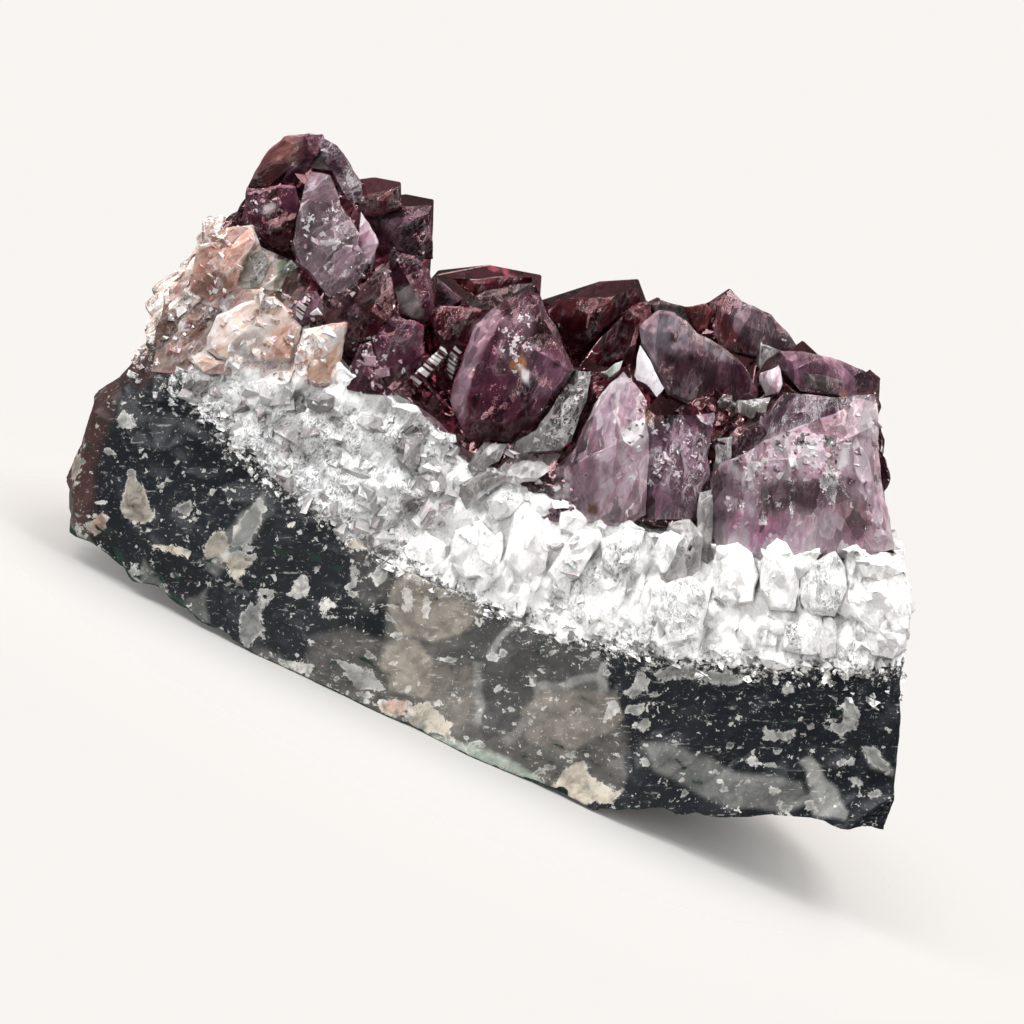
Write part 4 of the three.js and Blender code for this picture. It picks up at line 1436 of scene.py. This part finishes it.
# Broken crystals in front, by finish: outline in picture pixels, pixel of the highest spot, its height in
# millimetres, tint, and how far it is sunk in millimetres, which is below zero for facets that stand out
FROSTED = [
    ([(624, 374), (646, 398), (652, 416), (715, 414), (713, 433), (709, 455), (711, 474), (708, 520),
      (643, 520), (600, 526), (545, 520), (531, 505), (548, 474), (573, 449), (592, 408), (605, 390)],
     (640, 470), 0.2, MAUVE, 0.5),
    ([(716, 450), (735, 432), (760, 420), (785, 393), (832, 397), (878, 393), (880, 450), (884, 483),
      (889, 510), (896, 550), (850, 558), (800, 558), (718, 556), (709, 520), (712, 470)], (800, 470),
     0.2, MAUVE, 0.6),
    ([(624, 371), (639, 387), (648, 400), (646, 418), (650, 437), (646, 515), (625, 528), (590, 524),
      (560, 524), (545, 517), (530, 507), (534, 483), (548, 473), (563, 464), (574, 449), (582, 431),
      (593, 407), (602, 392), (615, 379)], (630, 436), 1.8, LILAC_MID),
    ([(648, 416), (680, 415), (715, 413), (713, 433), (709, 455), (711, 474), (696, 503), (670, 518),
      (643, 517), (640, 480), (650, 437)], (685, 440), 1.0, MAUVE),
    ([(785, 391), (812, 394), (832, 397), (837, 410), (823, 420), (806, 430), (788, 430), (766, 433),
      (763, 422), (773, 406)], (800, 412), 0.8, MAUVE),
    ([(711, 490), (713, 463), (735, 458), (766, 440), (800, 425), (836, 412), (858, 398), (878, 393),
      (879, 450), (882, 482), (888, 508), (896, 550), (850, 559), (760, 561), (716, 557), (709, 520)],
     (812, 455), 1.8, LILAC_MID),
    ([(308, 169), (330, 174), (341, 204), (360, 234), (358, 245), (371, 260), (358, 284), (350, 322),
      (326, 324), (330, 306), (311, 276), (298, 267), (291, 250), (300, 204)], (335, 240), 1.3, LILAC),
    ([(360, 209), (376, 234), (378, 243), (371, 263), (360, 284), (354, 270), (358, 240)], (368, 246),
     0.5, LILAC_PALE),
    ([(318, 135), (338, 145), (350, 163), (361, 182), (364, 198), (358, 208), (345, 198), (333, 174),
      (320, 156)], (342, 170), 0.6, MAUVE),
    ([(320, 148), (331, 171), (308, 168)], (320, 160), 0.5, CLEAR_GREY),
]
DEEP = [
    ([(760, 382), (763, 350), (782, 351), (805, 350), (828, 356), (851, 364), (866, 371), (878, 382),
      (877, 392), (852, 398), (828, 395), (800, 392), (782, 370)], (815, 362), 0.5, MAUVE),
    ([(790, 371), (820, 374), (843, 380), (841, 392), (828, 394), (806, 386)], (818, 382), 0.3, SLATE,
     -1.0),
    ([(530, 288), (541, 296), (548, 311), (558, 331), (572, 361), (576, 370), (560, 392), (548, 411),
      (534, 427), (510, 442), (484, 442), (474, 450), (460, 427), (448, 398), (454, 381), (463, 355),
      (476, 324), (491, 309), (510, 298)], (528, 345), 2.4, PURPLE),
    ([(284, 136), (304, 136), (306, 156), (282, 176), (267, 187), (246, 187), (256, 169), (267, 152)],
     (276, 165), 0.6, (0.1, 0.032, 0.036)),
    ([(389, 248), (415, 256), (430, 270), (434, 306), (424, 325), (396, 315), (391, 280)], (414, 290),
     0.9, PURPLE),
    ([(371, 339), (393, 314), (424, 326), (424, 352), (410, 380), (393, 397), (380, 376)], (398, 345),
     0.8, PURPLE),
    ([(583, 358), (605, 332), (632, 304), (648, 300), (652, 312), (641, 326), (637, 345), (630, 372),
      (622, 358), (600, 366)], (620, 335), 0.4, MAROON),
    ([(697, 307), (713, 299), (729, 290), (718, 330), (700, 332)], (712, 318), 0.4, MAROON),
    ([(648, 317), (659, 310), (674, 311), (686, 319), (697, 331), (723, 345), (736, 357), (746, 367),
      (748, 380), (735, 391), (714, 398), (689, 404), (668, 396), (664, 388), (650, 359), (640, 344),
      (639, 326)], (686, 350), 1.2, GREY_MAUVE),
    ([(650, 304), (662, 299), (684, 306), (691, 322), (674, 313), (656, 314)], (668, 305), 0.3, SLATE),
    ([(683, 306), (706, 304), (715, 312), (708, 328), (697, 332), (690, 320)], (700, 316), 0.4,
     RED_BROWN, -0.8),
    ([(738, 356), (748, 372), (758, 392), (757, 402), (735, 402), (731, 382)], (745, 384), 0.3, PURPLE,
     -0.8),
    ([(437, 277), (462, 298), (444, 313), (433, 302)], (446, 298), 0.3, MAUVE, -0.6),
    ([(441, 278), (532, 276), (536, 284), (508, 291), (468, 300)], (480, 284), 0.4, MAROON, -0.3),
    ([(462, 298), (508, 285), (533, 281), (536, 290), (508, 302), (492, 310), (470, 308)], (498, 296),
     0.3, SLATE, -0.5),
    ([(438, 304), (470, 307), (492, 310), (476, 330), (462, 345), (440, 347), (433, 325)], (455, 322),
     0.5, MAROON, -0.5),
    ([(541, 297), (575, 298), (610, 297), (636, 286), (642, 300), (612, 322), (588, 345), (572, 356),
      (556, 328)], (590, 314), 0.8, MAROON, -0.3),
    ([(356, 197), (399, 186), (402, 206), (384, 214), (361, 216)], (380, 200), 0.5, MAROON, -0.3),
    ([(366, 216), (386, 212), (402, 206), (431, 204), (433, 258), (416, 258), (392, 250), (378, 262),
      (372, 236)], (405, 228), 0.9, PURPLE, -0.3),
    ([(712, 326), (726, 293), (741, 300), (772, 314), (800, 348), (775, 350), (754, 357), (735, 354),
      (721, 348)], (745, 325), 1.0, GREY_MAUVE),
    ([(322, 134), (304, 134), (292, 160), (280, 184), (296, 182), (308, 168), (320, 150)], (302, 162),
     0.5, PURPLE),
    ([(246, 186), (267, 188), (282, 184), (296, 186), (300, 205), (292, 248), (276, 251), (254, 241),
      (241, 219)], (268, 215), 0.9, PURPLE),
    ([(261, 213), (280, 206), (297, 213), (295, 234), (291, 247), (272, 249), (258, 234)], (280, 228),
     0.7, MAROON),
    ([(291, 308), (304, 291), (317, 290), (328, 309), (326, 322), (302, 327), (289, 317)], (308, 306),
     0.9, MAUVE),
    ([(350, 308), (360, 284), (389, 258), (394, 296), (393, 315), (371, 340), (358, 344), (341, 388),
      (332, 386), (341, 352)], (368, 310), 0.9, MAROON),
    ([(358, 344), (371, 340), (382, 376), (393, 398), (367, 396), (341, 388)], (368, 370), 0.7, PURPLE),
]
CLEAR = [
    ([(760, 373), (779, 364), (782, 370), (783, 385), (779, 394), (766, 396), (759, 381)], (772, 380),
     0.4, LILAC_PALE, -0.8),
    ([(760, 343), (782, 350), (770, 358), (760, 372), (756, 366)], (766, 356), 0.3, CLEAR_GREY, -0.4),
    ([(737, 400), (771, 397), (766, 413), (751, 420), (737, 413)], (753, 407), 0.4, GREEN_GREY),
    ([(576, 369), (592, 370), (587, 398), (578, 424), (572, 442), (560, 450), (534, 452), (510, 455),
      (511, 444), (534, 431), (548, 412), (556, 398), (567, 385)], (570, 410), 0.9, DARK_GREY),
    ([(484, 442), (509, 444), (500, 462), (472, 477), (466, 466)], (488, 456), 0.6, CLEAR_GREY),
    ([(511, 455), (534, 452), (563, 452), (550, 470), (534, 482), (504, 484), (480, 497), (467, 510),
      (448, 516), (435, 508), (448, 490), (472, 477), (500, 466)], (512, 470), 0.7, CLEAR_GREY),
    ([(430, 464), (448, 466), (470, 478), (446, 492), (430, 510), (405, 520), (400, 500)], (436, 484),
     0.7, CLEAR_GREY),
    ([(236, 284), (248, 256), (263, 248), (273, 263), (260, 289), (241, 291)], (254, 268), 0.7,
     GREEN_GREY),
    ([(260, 289), (291, 258), (300, 267), (286, 279), (282, 293)], (278, 276), 0.5, GREEN_GREY),
    ([(797, 516), (815, 506), (832, 510), (838, 530), (832, 562), (802, 562), (794, 536)], (815, 532),
     0.9, CLEAR_GREY),
    ([(668, 522), (690, 519), (705, 535), (700, 570), (680, 586), (660, 580), (656, 550)], (682, 550),
     1.2, CLEAR_GREY),
    ([(699, 492), (713, 488), (714, 560), (700, 572), (695, 540)], (706, 530), 0.3, DARK_GREY),
    ([(713, 440), (733, 436), (731, 462), (714, 466)], (722, 450), 0.3, DARK_GREY),
    ([(308, 398), (322, 389), (335, 396), (334, 407), (319, 415), (307, 408)], (320, 402), 1.0,
     DARK_GREY),
]
STRIPED = [
    ([(410, 378), (443, 343), (449, 354), (417, 389)], (430, 366), 0.2, CLEAR_GREY, -0.5),
    ([(400, 288), (408, 286), (424, 308), (420, 318), (404, 304)], (412, 300), 0.2, CLEAR_GREY, -0.9),
    ([(294, 308), (306, 294), (312, 298), (302, 322), (295, 318)], (303, 308), 0.2, CLEAR_GREY, -0.9),
    ([(447, 355), (455, 345), (462, 352), (452, 380), (446, 372)], (454, 362), 0.2, CLEAR_GREY, -0.2),
]
CLOUDY = [
    # A face painted almost white: a painted reflection of the light on that face
    ([(640, 344), (650, 359), (658, 376), (664, 388), (657, 398), (646, 385), (634, 379), (636, 362)],
     (650, 376), 0.1, (0.8, 0.75, 0.82), -1.0),
    ([(623, 360), (620, 370), (610, 378), (602, 373), (615, 364)], (613, 369), 0.1, (0.55, 0.6, 0.56),
     -1.0),
    ([(150, 372), (165, 300), (190, 258), (225, 226), (252, 224), (262, 246), (298, 262), (308, 330),
      (346, 321), (336, 386), (300, 390), (240, 378), (186, 374)], (240, 300), 0.2, CREAM_SHADE, 0.9),
    ([(152, 345), (163, 305), (178, 292), (187, 307), (176, 334), (178, 355), (162, 366)], (168, 330),
     0.5, PEACH),
    ([(186, 357), (206, 350), (217, 359), (250, 363), (240, 376), (205, 374)], (215, 364), 0.4,
     CREAM_PALE),
    ([(190, 273), (198, 244), (223, 240), (236, 223), (252, 227), (256, 242), (242, 262), (236, 288),
      (210, 302), (189, 290)], (225, 262), 0.8, PEACH),
    ([(206, 336), (217, 315), (240, 302), (275, 296), (294, 311), (302, 328), (294, 361), (236, 363),
      (217, 359), (206, 350)], (255, 330), 1.2, CREAM_PALE),
    ([(175, 334), (187, 307), (210, 302), (227, 298), (217, 315), (206, 336), (189, 357), (178, 355)],
     (195, 330), 0.7, PEACH),
    ([(302, 328), (345, 321), (351, 325), (344, 346), (334, 386), (313, 388), (294, 373), (294, 361)],
     (322, 345), 1.1, CREAM_PALE),
]

# Areas of painted highlights, where the crystals get dense white sparks: outline, tint, strength, softness in
# millimetres
GLINT_AREAS = [
    ([(600, 395), (660, 395), (700, 425), (712, 440), (690, 480), (640, 490), (600, 470)], GLINT, 0.35,
     1.5),
    ([(720, 440), (870, 420), (885, 540), (720, 545)], GLINT, 0.3, 1.5),
    ([(498, 318), (528, 312), (532, 340), (524, 378), (505, 372), (494, 350)], GLINT, 0.7, 1.2),
    ([(612, 395), (625, 390), (645, 430), (640, 455), (625, 450), (612, 420)], GLINT, 0.9, 1.2),
    ([(745, 455), (766, 447), (797, 437), (830, 445), (848, 455), (834, 472), (805, 480), (755, 484)],
     GLINT, 1.0, 1.2),
    ([(300, 195), (335, 200), (350, 235), (330, 260), (300, 262), (298, 230)], GLINT, 0.7, 1.0),
    ([(340, 345), (385, 335), (400, 350), (385, 385), (350, 380)], GLINT, 0.5, 1.2),
    ([(545, 395), (588, 372), (584, 425), (560, 448), (535, 450)], GLINT, 0.8, 0.8),
    ([(236, 284), (262, 248), (300, 262), (284, 293), (260, 296)], GLINT, 0.4, 0.8),
]

# Marks in the crystals, some of them painted highlights: outline in picture pixels, tint, strength, softness
# in millimetres
CRYSTAL_MARKS = [
    ([(664, 362), (700, 350), (745, 368), (748, 380), (700, 404), (668, 396)], PURPLE, 0.6, 1.2),
    ([(660, 318), (676, 316), (690, 340), (668, 352), (650, 340)], (0.3, 0.27, 0.32), 0.7, 0.8),
    ([(686, 322), (697, 332), (730, 350), (722, 362), (696, 345)], (0.3, 0.28, 0.3), 0.6, 0.6),
    ([(710, 305), (727, 292), (732, 330), (760, 352), (735, 356), (716, 345)], (0.08, 0.01, 0.014), 0.85,
     0.5),
    ([(738, 306), (764, 318), (785, 340), (770, 345), (745, 330)], (0.2, 0.15, 0.17), 0.7, 0.8),
    ([(440, 277), (500, 276), (480, 290), (460, 296)], RED_BROWN, 0.5, 0.6),
    ([(560, 300), (600, 300), (620, 300), (590, 322), (570, 325)], RED_BROWN, 0.4, 0.8),
    ([(375, 190), (398, 188), (398, 196), (380, 200)], RED_BROWN, 0.5, 0.4),
    ([(380, 220), (425, 208), (430, 216), (385, 232)], LILAC, 0.35, 0.5),
    ([(392, 236), (428, 232), (428, 240), (395, 246)], LILAC, 0.3, 0.5),
    ([(668, 357), (676, 356), (675, 364), (668, 364)], SOOT, 0.9, 0.2),
    ([(689, 353), (695, 352), (694, 359), (688, 359)], SOOT, 0.9, 0.2),
    ([(670, 332), (676, 332), (675, 340), (669, 340)], SOOT, 0.9, 0.2),
    ([(624, 372), (639, 388), (647, 400), (650, 440), (642, 480), (622, 492), (617, 440), (614, 400)],
     LILAC_PALE, 0.75, 1.4),
    ([(563, 464), (590, 440), (600, 480), (590, 515), (545, 516), (532, 500), (546, 475)], MAUVE, 0.8,
     1.2),
    # Pale lilac where the block glints: its own pale colour, and a painted highlight
    ([(766, 442), (790, 430), (830, 425), (848, 440), (845, 462), (815, 480), (780, 487), (742, 482),
      (730, 466)], LILAC_PALE, 0.8, 1.2),
    ([(763, 492), (782, 480), (806, 484), (830, 472), (845, 484), (832, 497), (816, 512), (792, 506),
      (771, 514)], PURPLE, 0.8, 1.6),
    ([(716, 470), (735, 470), (745, 500), (735, 520), (712, 520)], MAUVE, 0.7, 1.0),
    ([(716, 534), (800, 528), (900, 532), (904, 572), (716, 572)], LILAC_PALE, 0.5, 2.4),
    ([(745, 515), (790, 515), (790, 540), (750, 550)], (0.5, 0.3, 0.4), 0.6, 1.0),
    ([(852, 400), (878, 395), (878, 470), (858, 470)], LILAC_PALE, 0.6, 1.0),
    ([(484, 444), (500, 424), (545, 408), (574, 372), (562, 396), (536, 430), (510, 444)], MAROON, 0.85,
     0.5),
    ([(465, 395), (485, 390), (500, 420), (492, 440), (472, 447), (460, 425)], MAROON, 0.6, 0.6),
    ([(450, 400), (463, 355), (476, 324), (500, 302), (503, 318), (480, 348), (468, 395), (462, 425)],
     LILAC, 0.7, 0.5),
    ([(500, 315), (530, 308), (540, 345), (520, 380), (495, 370)], LILAC, 0.4, 1.0),
    ([(490, 350), (530, 370), (560, 380), (548, 405), (520, 430), (490, 430)], PURPLE, 0.5, 1.4),
    ([(284, 140), (302, 143), (298, 160), (276, 166), (270, 156)], (0.24, 0.1, 0.085), 0.6, 0.5),
    ([(540, 345), (568, 365), (556, 395), (530, 400), (525, 370)], MAUVE, 0.6, 0.8),
    # An orange and a white glint: painted highlights
    ([(512, 357), (521, 353), (526, 366), (519, 375), (511, 368)], AMBER, 0.95, 0.3),
    ([(519, 368), (529, 371), (528, 385), (519, 382)], GLINT, 0.9, 0.3),
    ([(535, 312), (547, 313), (547, 325), (537, 326)], SOOT, 0.95, 0.25),
    ([(533, 335), (546, 329), (549, 346), (537, 347)], SOOT, 0.95, 0.25),
    ([(551, 330), (561, 332), (556, 341)], SOOT, 0.95, 0.25),
    ([(553, 361), (563, 361), (562, 369), (554, 370)], SOOT, 0.9, 0.25),
    # A white glint: painted highlight
    ([(622, 428), (643, 418), (647, 432), (639, 449), (626, 448)], GLINT, 0.8, 0.5),
    ([(554, 484), (567, 485), (567, 497), (555, 497)], GLINT, 0.95, 0.3),
    ([(553, 466), (569, 465), (569, 480), (555, 481)], LILAC_PALE, 0.9, 0.3),
    ([(589, 502), (596, 502), (596, 517), (589, 515)], RUST, 0.95, 0.25),
    ([(644, 410), (656, 411), (657, 423), (646, 421)], AMBER, 0.9, 0.3),
    ([(675, 478), (705, 470), (700, 500), (680, 508)], PURPLE, 0.7, 0.8),
    ([(712, 401), (724, 401), (723, 411), (713, 411)], RUST, 0.95, 0.25),
    ([(828, 394), (839, 394), (838, 406), (829, 405)], SOOT, 0.95, 0.25),
    ([(841, 392), (847, 393), (846, 398), (841, 397)], AMBER, 0.7, 0.3),
    ([(825, 437), (834, 438), (833, 448), (826, 447)], SOOT, 0.95, 0.25),
    ([(795, 407), (803, 409), (801, 415), (795, 413)], SOOT, 0.9, 0.25),
    # A white and a pink glint: painted highlights
    ([(837, 450), (848, 450), (848, 466), (838, 468)], GLINT, 0.9, 0.3),
    ([(804, 462), (822, 460), (822, 480), (806, 482)], (0.95, 0.62, 0.75), 0.7, 0.5),
    ([(297, 180), (308, 180), (307, 192), (298, 191)], SOOT, 0.95, 0.25),
    ([(266, 192), (280, 192), (278, 204), (267, 203)], SOOT, 0.95, 0.25),
    ([(263, 203), (278, 204), (277, 212), (264, 212)], CLEAR_GREY, 0.9, 0.3),
    ([(278, 262), (289, 262), (288, 273), (279, 272)], (0.12, 0.22, 0.13), 0.7, 0.4),
    ([(300, 228), (318, 232), (312, 255), (298, 255)], PURPLE, 0.7, 0.6),
    ([(322, 300), (352, 285), (350, 318), (330, 322)], LILAC_PALE, 0.5, 0.8),
    ([(395, 290), (412, 286), (424, 318), (410, 318)], CLEAR_GREY, 0.6, 0.4),
]

# Broken lumps: outline, how many, sizes in millimetres, tints to draw from
WHITE_LUMPS = [
    (LEFT_BAND, 90, (0.6, 2.4), (MILK_SHADE, MILK_SHADE, MILK_SHADOW)),
    (MIDDLE_BAND, 50, (0.5, 2.0), (MILK_BRIGHT, MILK_BRIGHT, MILK_SHADE)),
    (RIGHT_BAND, 24, (0.5, 1.6), (MILK_BRIGHT, MILK_SHADE)),
]
GREY_LUMPS = [
    (LEFT_BAND, 60, (1.2, 4.0), (CLEAR_GREY, CLEAR_GREY, CLEAR_PALE)),
    (MIDDLE_BAND, 14, (0.8, 2.4), (CLEAR_PALE, CLEAR_GREY)),
    ([(430, 464), (480, 450), (560, 450), (545, 480), (470, 515), (410, 525)], 22, (0.8, 2.6),
     (CLEAR_GREY, CLEAR_PALE)),
]
# The white splinters, in the glint colour, are painted highlights on broken lilac splinters
LILAC_LUMPS = [
    ([(735, 462), (766, 442), (800, 430), (848, 440), (848, 465), (815, 480), (760, 486)], 80,
     (0.3, 1.2), (GLINT, GLINT, LILAC_PALE, LILAC, MAUVE)),
    ([(713, 470), (745, 470), (760, 520), (720, 540)], 14, (0.5, 1.6), (LILAC, MAUVE, LILAC_PALE)),
    ([(615, 400), (645, 400), (650, 450), (620, 470)], 14, (0.3, 1.2), (GLINT, LILAC_PALE, LILAC)),
    ([(545, 470), (590, 470), (590, 515), (540, 512)], 10, (0.5, 1.6), (LILAC, MAUVE, GLINT)),
    ([(655, 425), (708, 425), (700, 500), (650, 505)], 16, (0.4, 1.6),
     (LILAC, MAUVE, PURPLE, LILAC_PALE)),
    ([(300, 195), (340, 200), (355, 240), (330, 270), (300, 262)], 26, (0.3, 1.2),
     (GLINT, LILAC_PALE, LILAC)),
    ([(490, 320), (535, 310), (545, 345), (500, 375)], 10, (0.3, 1.0), (GLINT, LILAC_PALE, LILAC)),
    ([(850, 420), (876, 400), (884, 540), (850, 545)], 12, (0.5, 1.6), (LILAC_PALE, LILAC, MAUVE)),
]
CREAM_LUMPS = [
    ([(160, 300), (186, 290), (300, 290), (340, 330), (330, 386), (180, 368), (152, 350)], 110,
     (0.5, 1.8), (CREAM_PALE, PEACH, MILK_BRIGHT, LILAC_PALE)),
    ([(190, 262), (225, 228), (254, 224), (250, 262), (205, 300), (185, 290)], 30, (0.5, 1.4),
     (CREAM_SHADE, PEACH, CREAM_PALE)),
]
DARK_LUMPS = [
    ([(345, 340), (395, 330), (410, 380), (385, 400), (342, 388)], 20, (0.5, 2.0),
     (PURPLE, MAUVE, MAROON, LILAC)),
    ([(360, 250), (430, 250), (434, 320), (400, 330), (350, 330)], 16, (0.6, 2.4),
     (PURPLE, MAROON, MAUVE)),
    ([(250, 190), (300, 190), (296, 245), (255, 245)], 10, (0.6, 2.0), (PURPLE, MAROON, MAUVE)),
    ([(715, 400), (770, 395), (765, 430), (715, 455)], 4, (1.4, 2.6), (PURPLE, MAUVE, GREEN_GREY)),
]

# Forms, in millimetres: depth of a form and of a facet, how far it stands out, its wall, how narrow its back
# is, and how far the back is set down along the growth
FORM_THICK = 5.0
FACET_THICK = 3.0
FORM_LEAD = 0.3
FORM_WALL = 1.8
FORM_TAPER = 0.62
FORM_SLOPE = 1.2
FORM_PITCH = 0.5

# The front cuts start at this share of the highest spot's height. The brow round that spot rises by a share
# of that, and is narrower than the outline
CUT_RISE = -0.5
BROW_RISE = 0.6
BROW_WIDTH = 0.9

# Cuts at the front and rear rims: how far they lean outwards, how many, how deep they reach, and up to which
# lengths points are merged and slivers taken away after them
FRONT_CHOPS = {"lean": (0.25, 0.8), "count": 8}
REAR_CHOPS = {"lean": (0.3, 0.9), "count": 6}
CHOP_DEPTH = (0.1, 0.4)
CHOP_MERGE = 0.03 * MM
CHOP_SLIVER = 0.02 * MM

# A form's own tint: strength, softness and inset in millimetres, and how much paler its edges are, which is a
# painted edge highlight
BODY_PAINT = (0.95, 0.4, 0.2)
RIM_PALENESS = 0.48
RIM_CURVE = 0.3
FORM_HACKLE = {"kind": "VORONOI", "pitch": 2.0, "depth": -0.2, "middle": 0.4, "distance_metric": "MANHATTAN"}
FORM_SMOOTH = 15


def outline_piece(places, name):
    """A flat face whose corners are the given places, made from a filled circle, facing the camera."""
    bpy.ops.object.select_all(action="DESELECT")
    bpy.ops.mesh.primitive_circle_add(vertices=len(places), fill_type="NGON")
    piece = bpy.context.object
    piece.name = name
    for point, place in zip(piece.data.vertices, places):
        point.co = place
    piece.data.update()
    if piece.data.polygons[0].normal.y > 0:
        edit(piece, "SELECT")
        bpy.ops.mesh.flip_normals()
        leave_edit()
    return piece


def chop_rim(ring, middle, towards, draw, lean, count):
    """Cuts flat faces off one rim of the form being edited, as breaks do. The cuts lean outwards."""
    for _ in range(count):
        rim = draw.choice(ring)
        facing = ((rim - middle).normalized() * draw.uniform(*lean) + towards).normalized()
        bpy.ops.mesh.select_all(action="SELECT")
        bpy.ops.mesh.bisect(
            plane_co=rim.lerp(middle, draw.uniform(*CHOP_DEPTH)),
            plane_no=facing,
            use_fill=True,
            clear_outer=True,
        )


def crystal_form(surfaces, marks, outline, peak, height, tint, sunk=0.0):
    """A broken crystal as the camera sees it: raised to a low peak, and narrower and chipped at the back."""
    hits = [first_seen(pixel, surfaces)[0] for pixel in [*outline, middle_of(outline)]]
    depths = sorted(hit.y for hit in hits if hit)
    front = depths[len(depths) // 4] + (sunk - FORM_LEAD) * MM
    ring = [on_face(pixel, front) for pixel in outline]
    middle = on_face(middle_of(outline), front)
    thick = FACET_THICK if sunk < 0 else FORM_THICK
    back = FORWARD * thick * MM - growth_direction(middle) * FORM_SLOPE * MM
    wall = FORWARD * FORM_WALL * MM
    rise = Vector((0, CUT_RISE * height * MM, 0))

    # Narrow back, full outline, brow, and the highest spot
    piece = outline_piece(ring, "form")
    edit(piece, "SELECT")
    bpy.ops.transform.translate(value=back)
    bpy.ops.transform.resize(value=(FORM_TAPER, 1, FORM_TAPER))
    bpy.ops.mesh.extrude_region_move(TRANSFORM_OT_translate={"value": wall - back})
    bpy.ops.transform.resize(value=(1 / FORM_TAPER, 1, 1 / FORM_TAPER))
    bpy.ops.mesh.extrude_region_move(TRANSFORM_OT_translate={"value": -wall})
    bpy.ops.mesh.extrude_region_move(TRANSFORM_OT_translate={"value": BROW_RISE * rise})
    bpy.ops.transform.resize(value=(BROW_WIDTH, 1, BROW_WIDTH))
    bpy.ops.mesh.poke()
    shape = bmesh.from_edit_mesh(piece.data)
    shape.verts.ensure_lookup_table()
    shape.verts[-1].co = on_face(peak, front - height * MM)
    bmesh.update_edit_mesh(piece.data)
    bpy.ops.mesh.select_all(action="SELECT")
    bpy.ops.mesh.normals_make_consistent(inside=False)

    # Breaks along both rims
    draw = random.Random(len(outline) + int(peak[0]))
    brow = [place + rise for place in ring]
    chop_rim(brow, middle + rise, Vector((0, -1, 0)), draw, **FRONT_CHOPS)
    rear = [middle + back + (place - middle) * FORM_TAPER for place in ring]
    chop_rim(rear, middle + back, FORWARD, draw, **REAR_CHOPS)
    bpy.ops.mesh.select_all(action="SELECT")
    bpy.ops.mesh.remove_doubles(threshold=CHOP_MERGE)
    bpy.ops.mesh.dissolve_degenerate(threshold=CHOP_SLIVER)
    bpy.ops.mesh.select_all(action="SELECT")
    bpy.ops.mesh.quads_convert_to_tris(quad_method="BEAUTY", ngon_method="BEAUTY")
    leave_edit()
    refine(piece, FORM_PITCH * MM)
    # The paler ground round the body is a painted highlight along the edges
    paint(piece, "stain", [(outline, tint, *BODY_PAINT), *marks], ground=highlight_rim_of(tint))
    # Where the painted highlights gather
    paint(piece, "glints", GLINT_AREAS)
    return piece


def highlight_rim_of(tint):
    """The paler colour of a crystal's edges: a painted edge highlight."""
    return [part ** (1 - RIM_PALENESS * max(tint) ** RIM_CURVE) for part in tint]


def make_forms(table, name, material, slot, surfaces, marks=()):
    """All broken crystals of one finish as one piece, with a hackly surface."""
    piece = join_all([crystal_form(surfaces, marks, *values) for values in table], name)
    relief(piece, **FORM_HACKLE)
    smooth(piece, FORM_SMOOTH)
    return finish_piece(piece, material, slot)


# Light has to pass many crystals, but needs few turns between them
CLEAR_BOUNCES = 9
DIFFUSE_BOUNCES = 2
GLOSSY_BOUNCES = 3

bpy.context.scene.view_settings.view_transform = "Standard"
bpy.context.scene.cycles.max_bounces = CLEAR_BOUNCES
bpy.context.scene.cycles.diffuse_bounces = DIFFUSE_BOUNCES
bpy.context.scene.cycles.glossy_bounces = GLOSSY_BOUNCES
bpy.context.scene.cycles.transmission_bounces = CLEAR_BOUNCES
make_camera()
light_scene()
make_floor(paper_material())
rock = make_rock(rock_material())
milky = milky_material()
band = make_band(milky)
make_columns(milky, band)
make_crumbs(milky, rock, band)
amethyst = make_amethyst(amethyst_material())
walls = [surface_of(amethyst), surface_of(band)]
frosted, deep, clear, cloudy = (crystal_material(name, **values) for name, values in FINISHES.items())
forms = [
    make_forms(FROSTED, "frosted_points", frosted, "amethyst", walls, CRYSTAL_MARKS),
    make_forms(DEEP, "deep_points", deep, "amethyst", walls, CRYSTAL_MARKS),
    make_forms(CLEAR, "clear_blades", clear, "milky_quartz", walls, CRYSTAL_MARKS),
    make_forms(CLOUDY, "cream_quartz", cloudy, "milky_quartz", walls, CRYSTAL_MARKS),
    make_forms(STRIPED, "striped_faces", striped_material(), "amethyst", walls),
    make_forms(TEETH, "quartz_teeth", milky, "milky_quartz", walls),
]
walls += [surface_of(form) for form in forms]
make_lumps("white_lumps", milky, "milky_quartz", walls, WHITE_LUMPS, 21)
make_lumps("grey_lumps", clear, "milky_quartz", walls, GREY_LUMPS, 31)
make_lumps("cream_chips", cloudy, "milky_quartz", walls, CREAM_LUMPS, 61)
make_lumps("lilac_splinters", frosted, "amethyst", walls, LILAC_LUMPS, 41)
make_lumps("dark_splinters", deep, "amethyst", walls, DARK_LUMPS, 51)
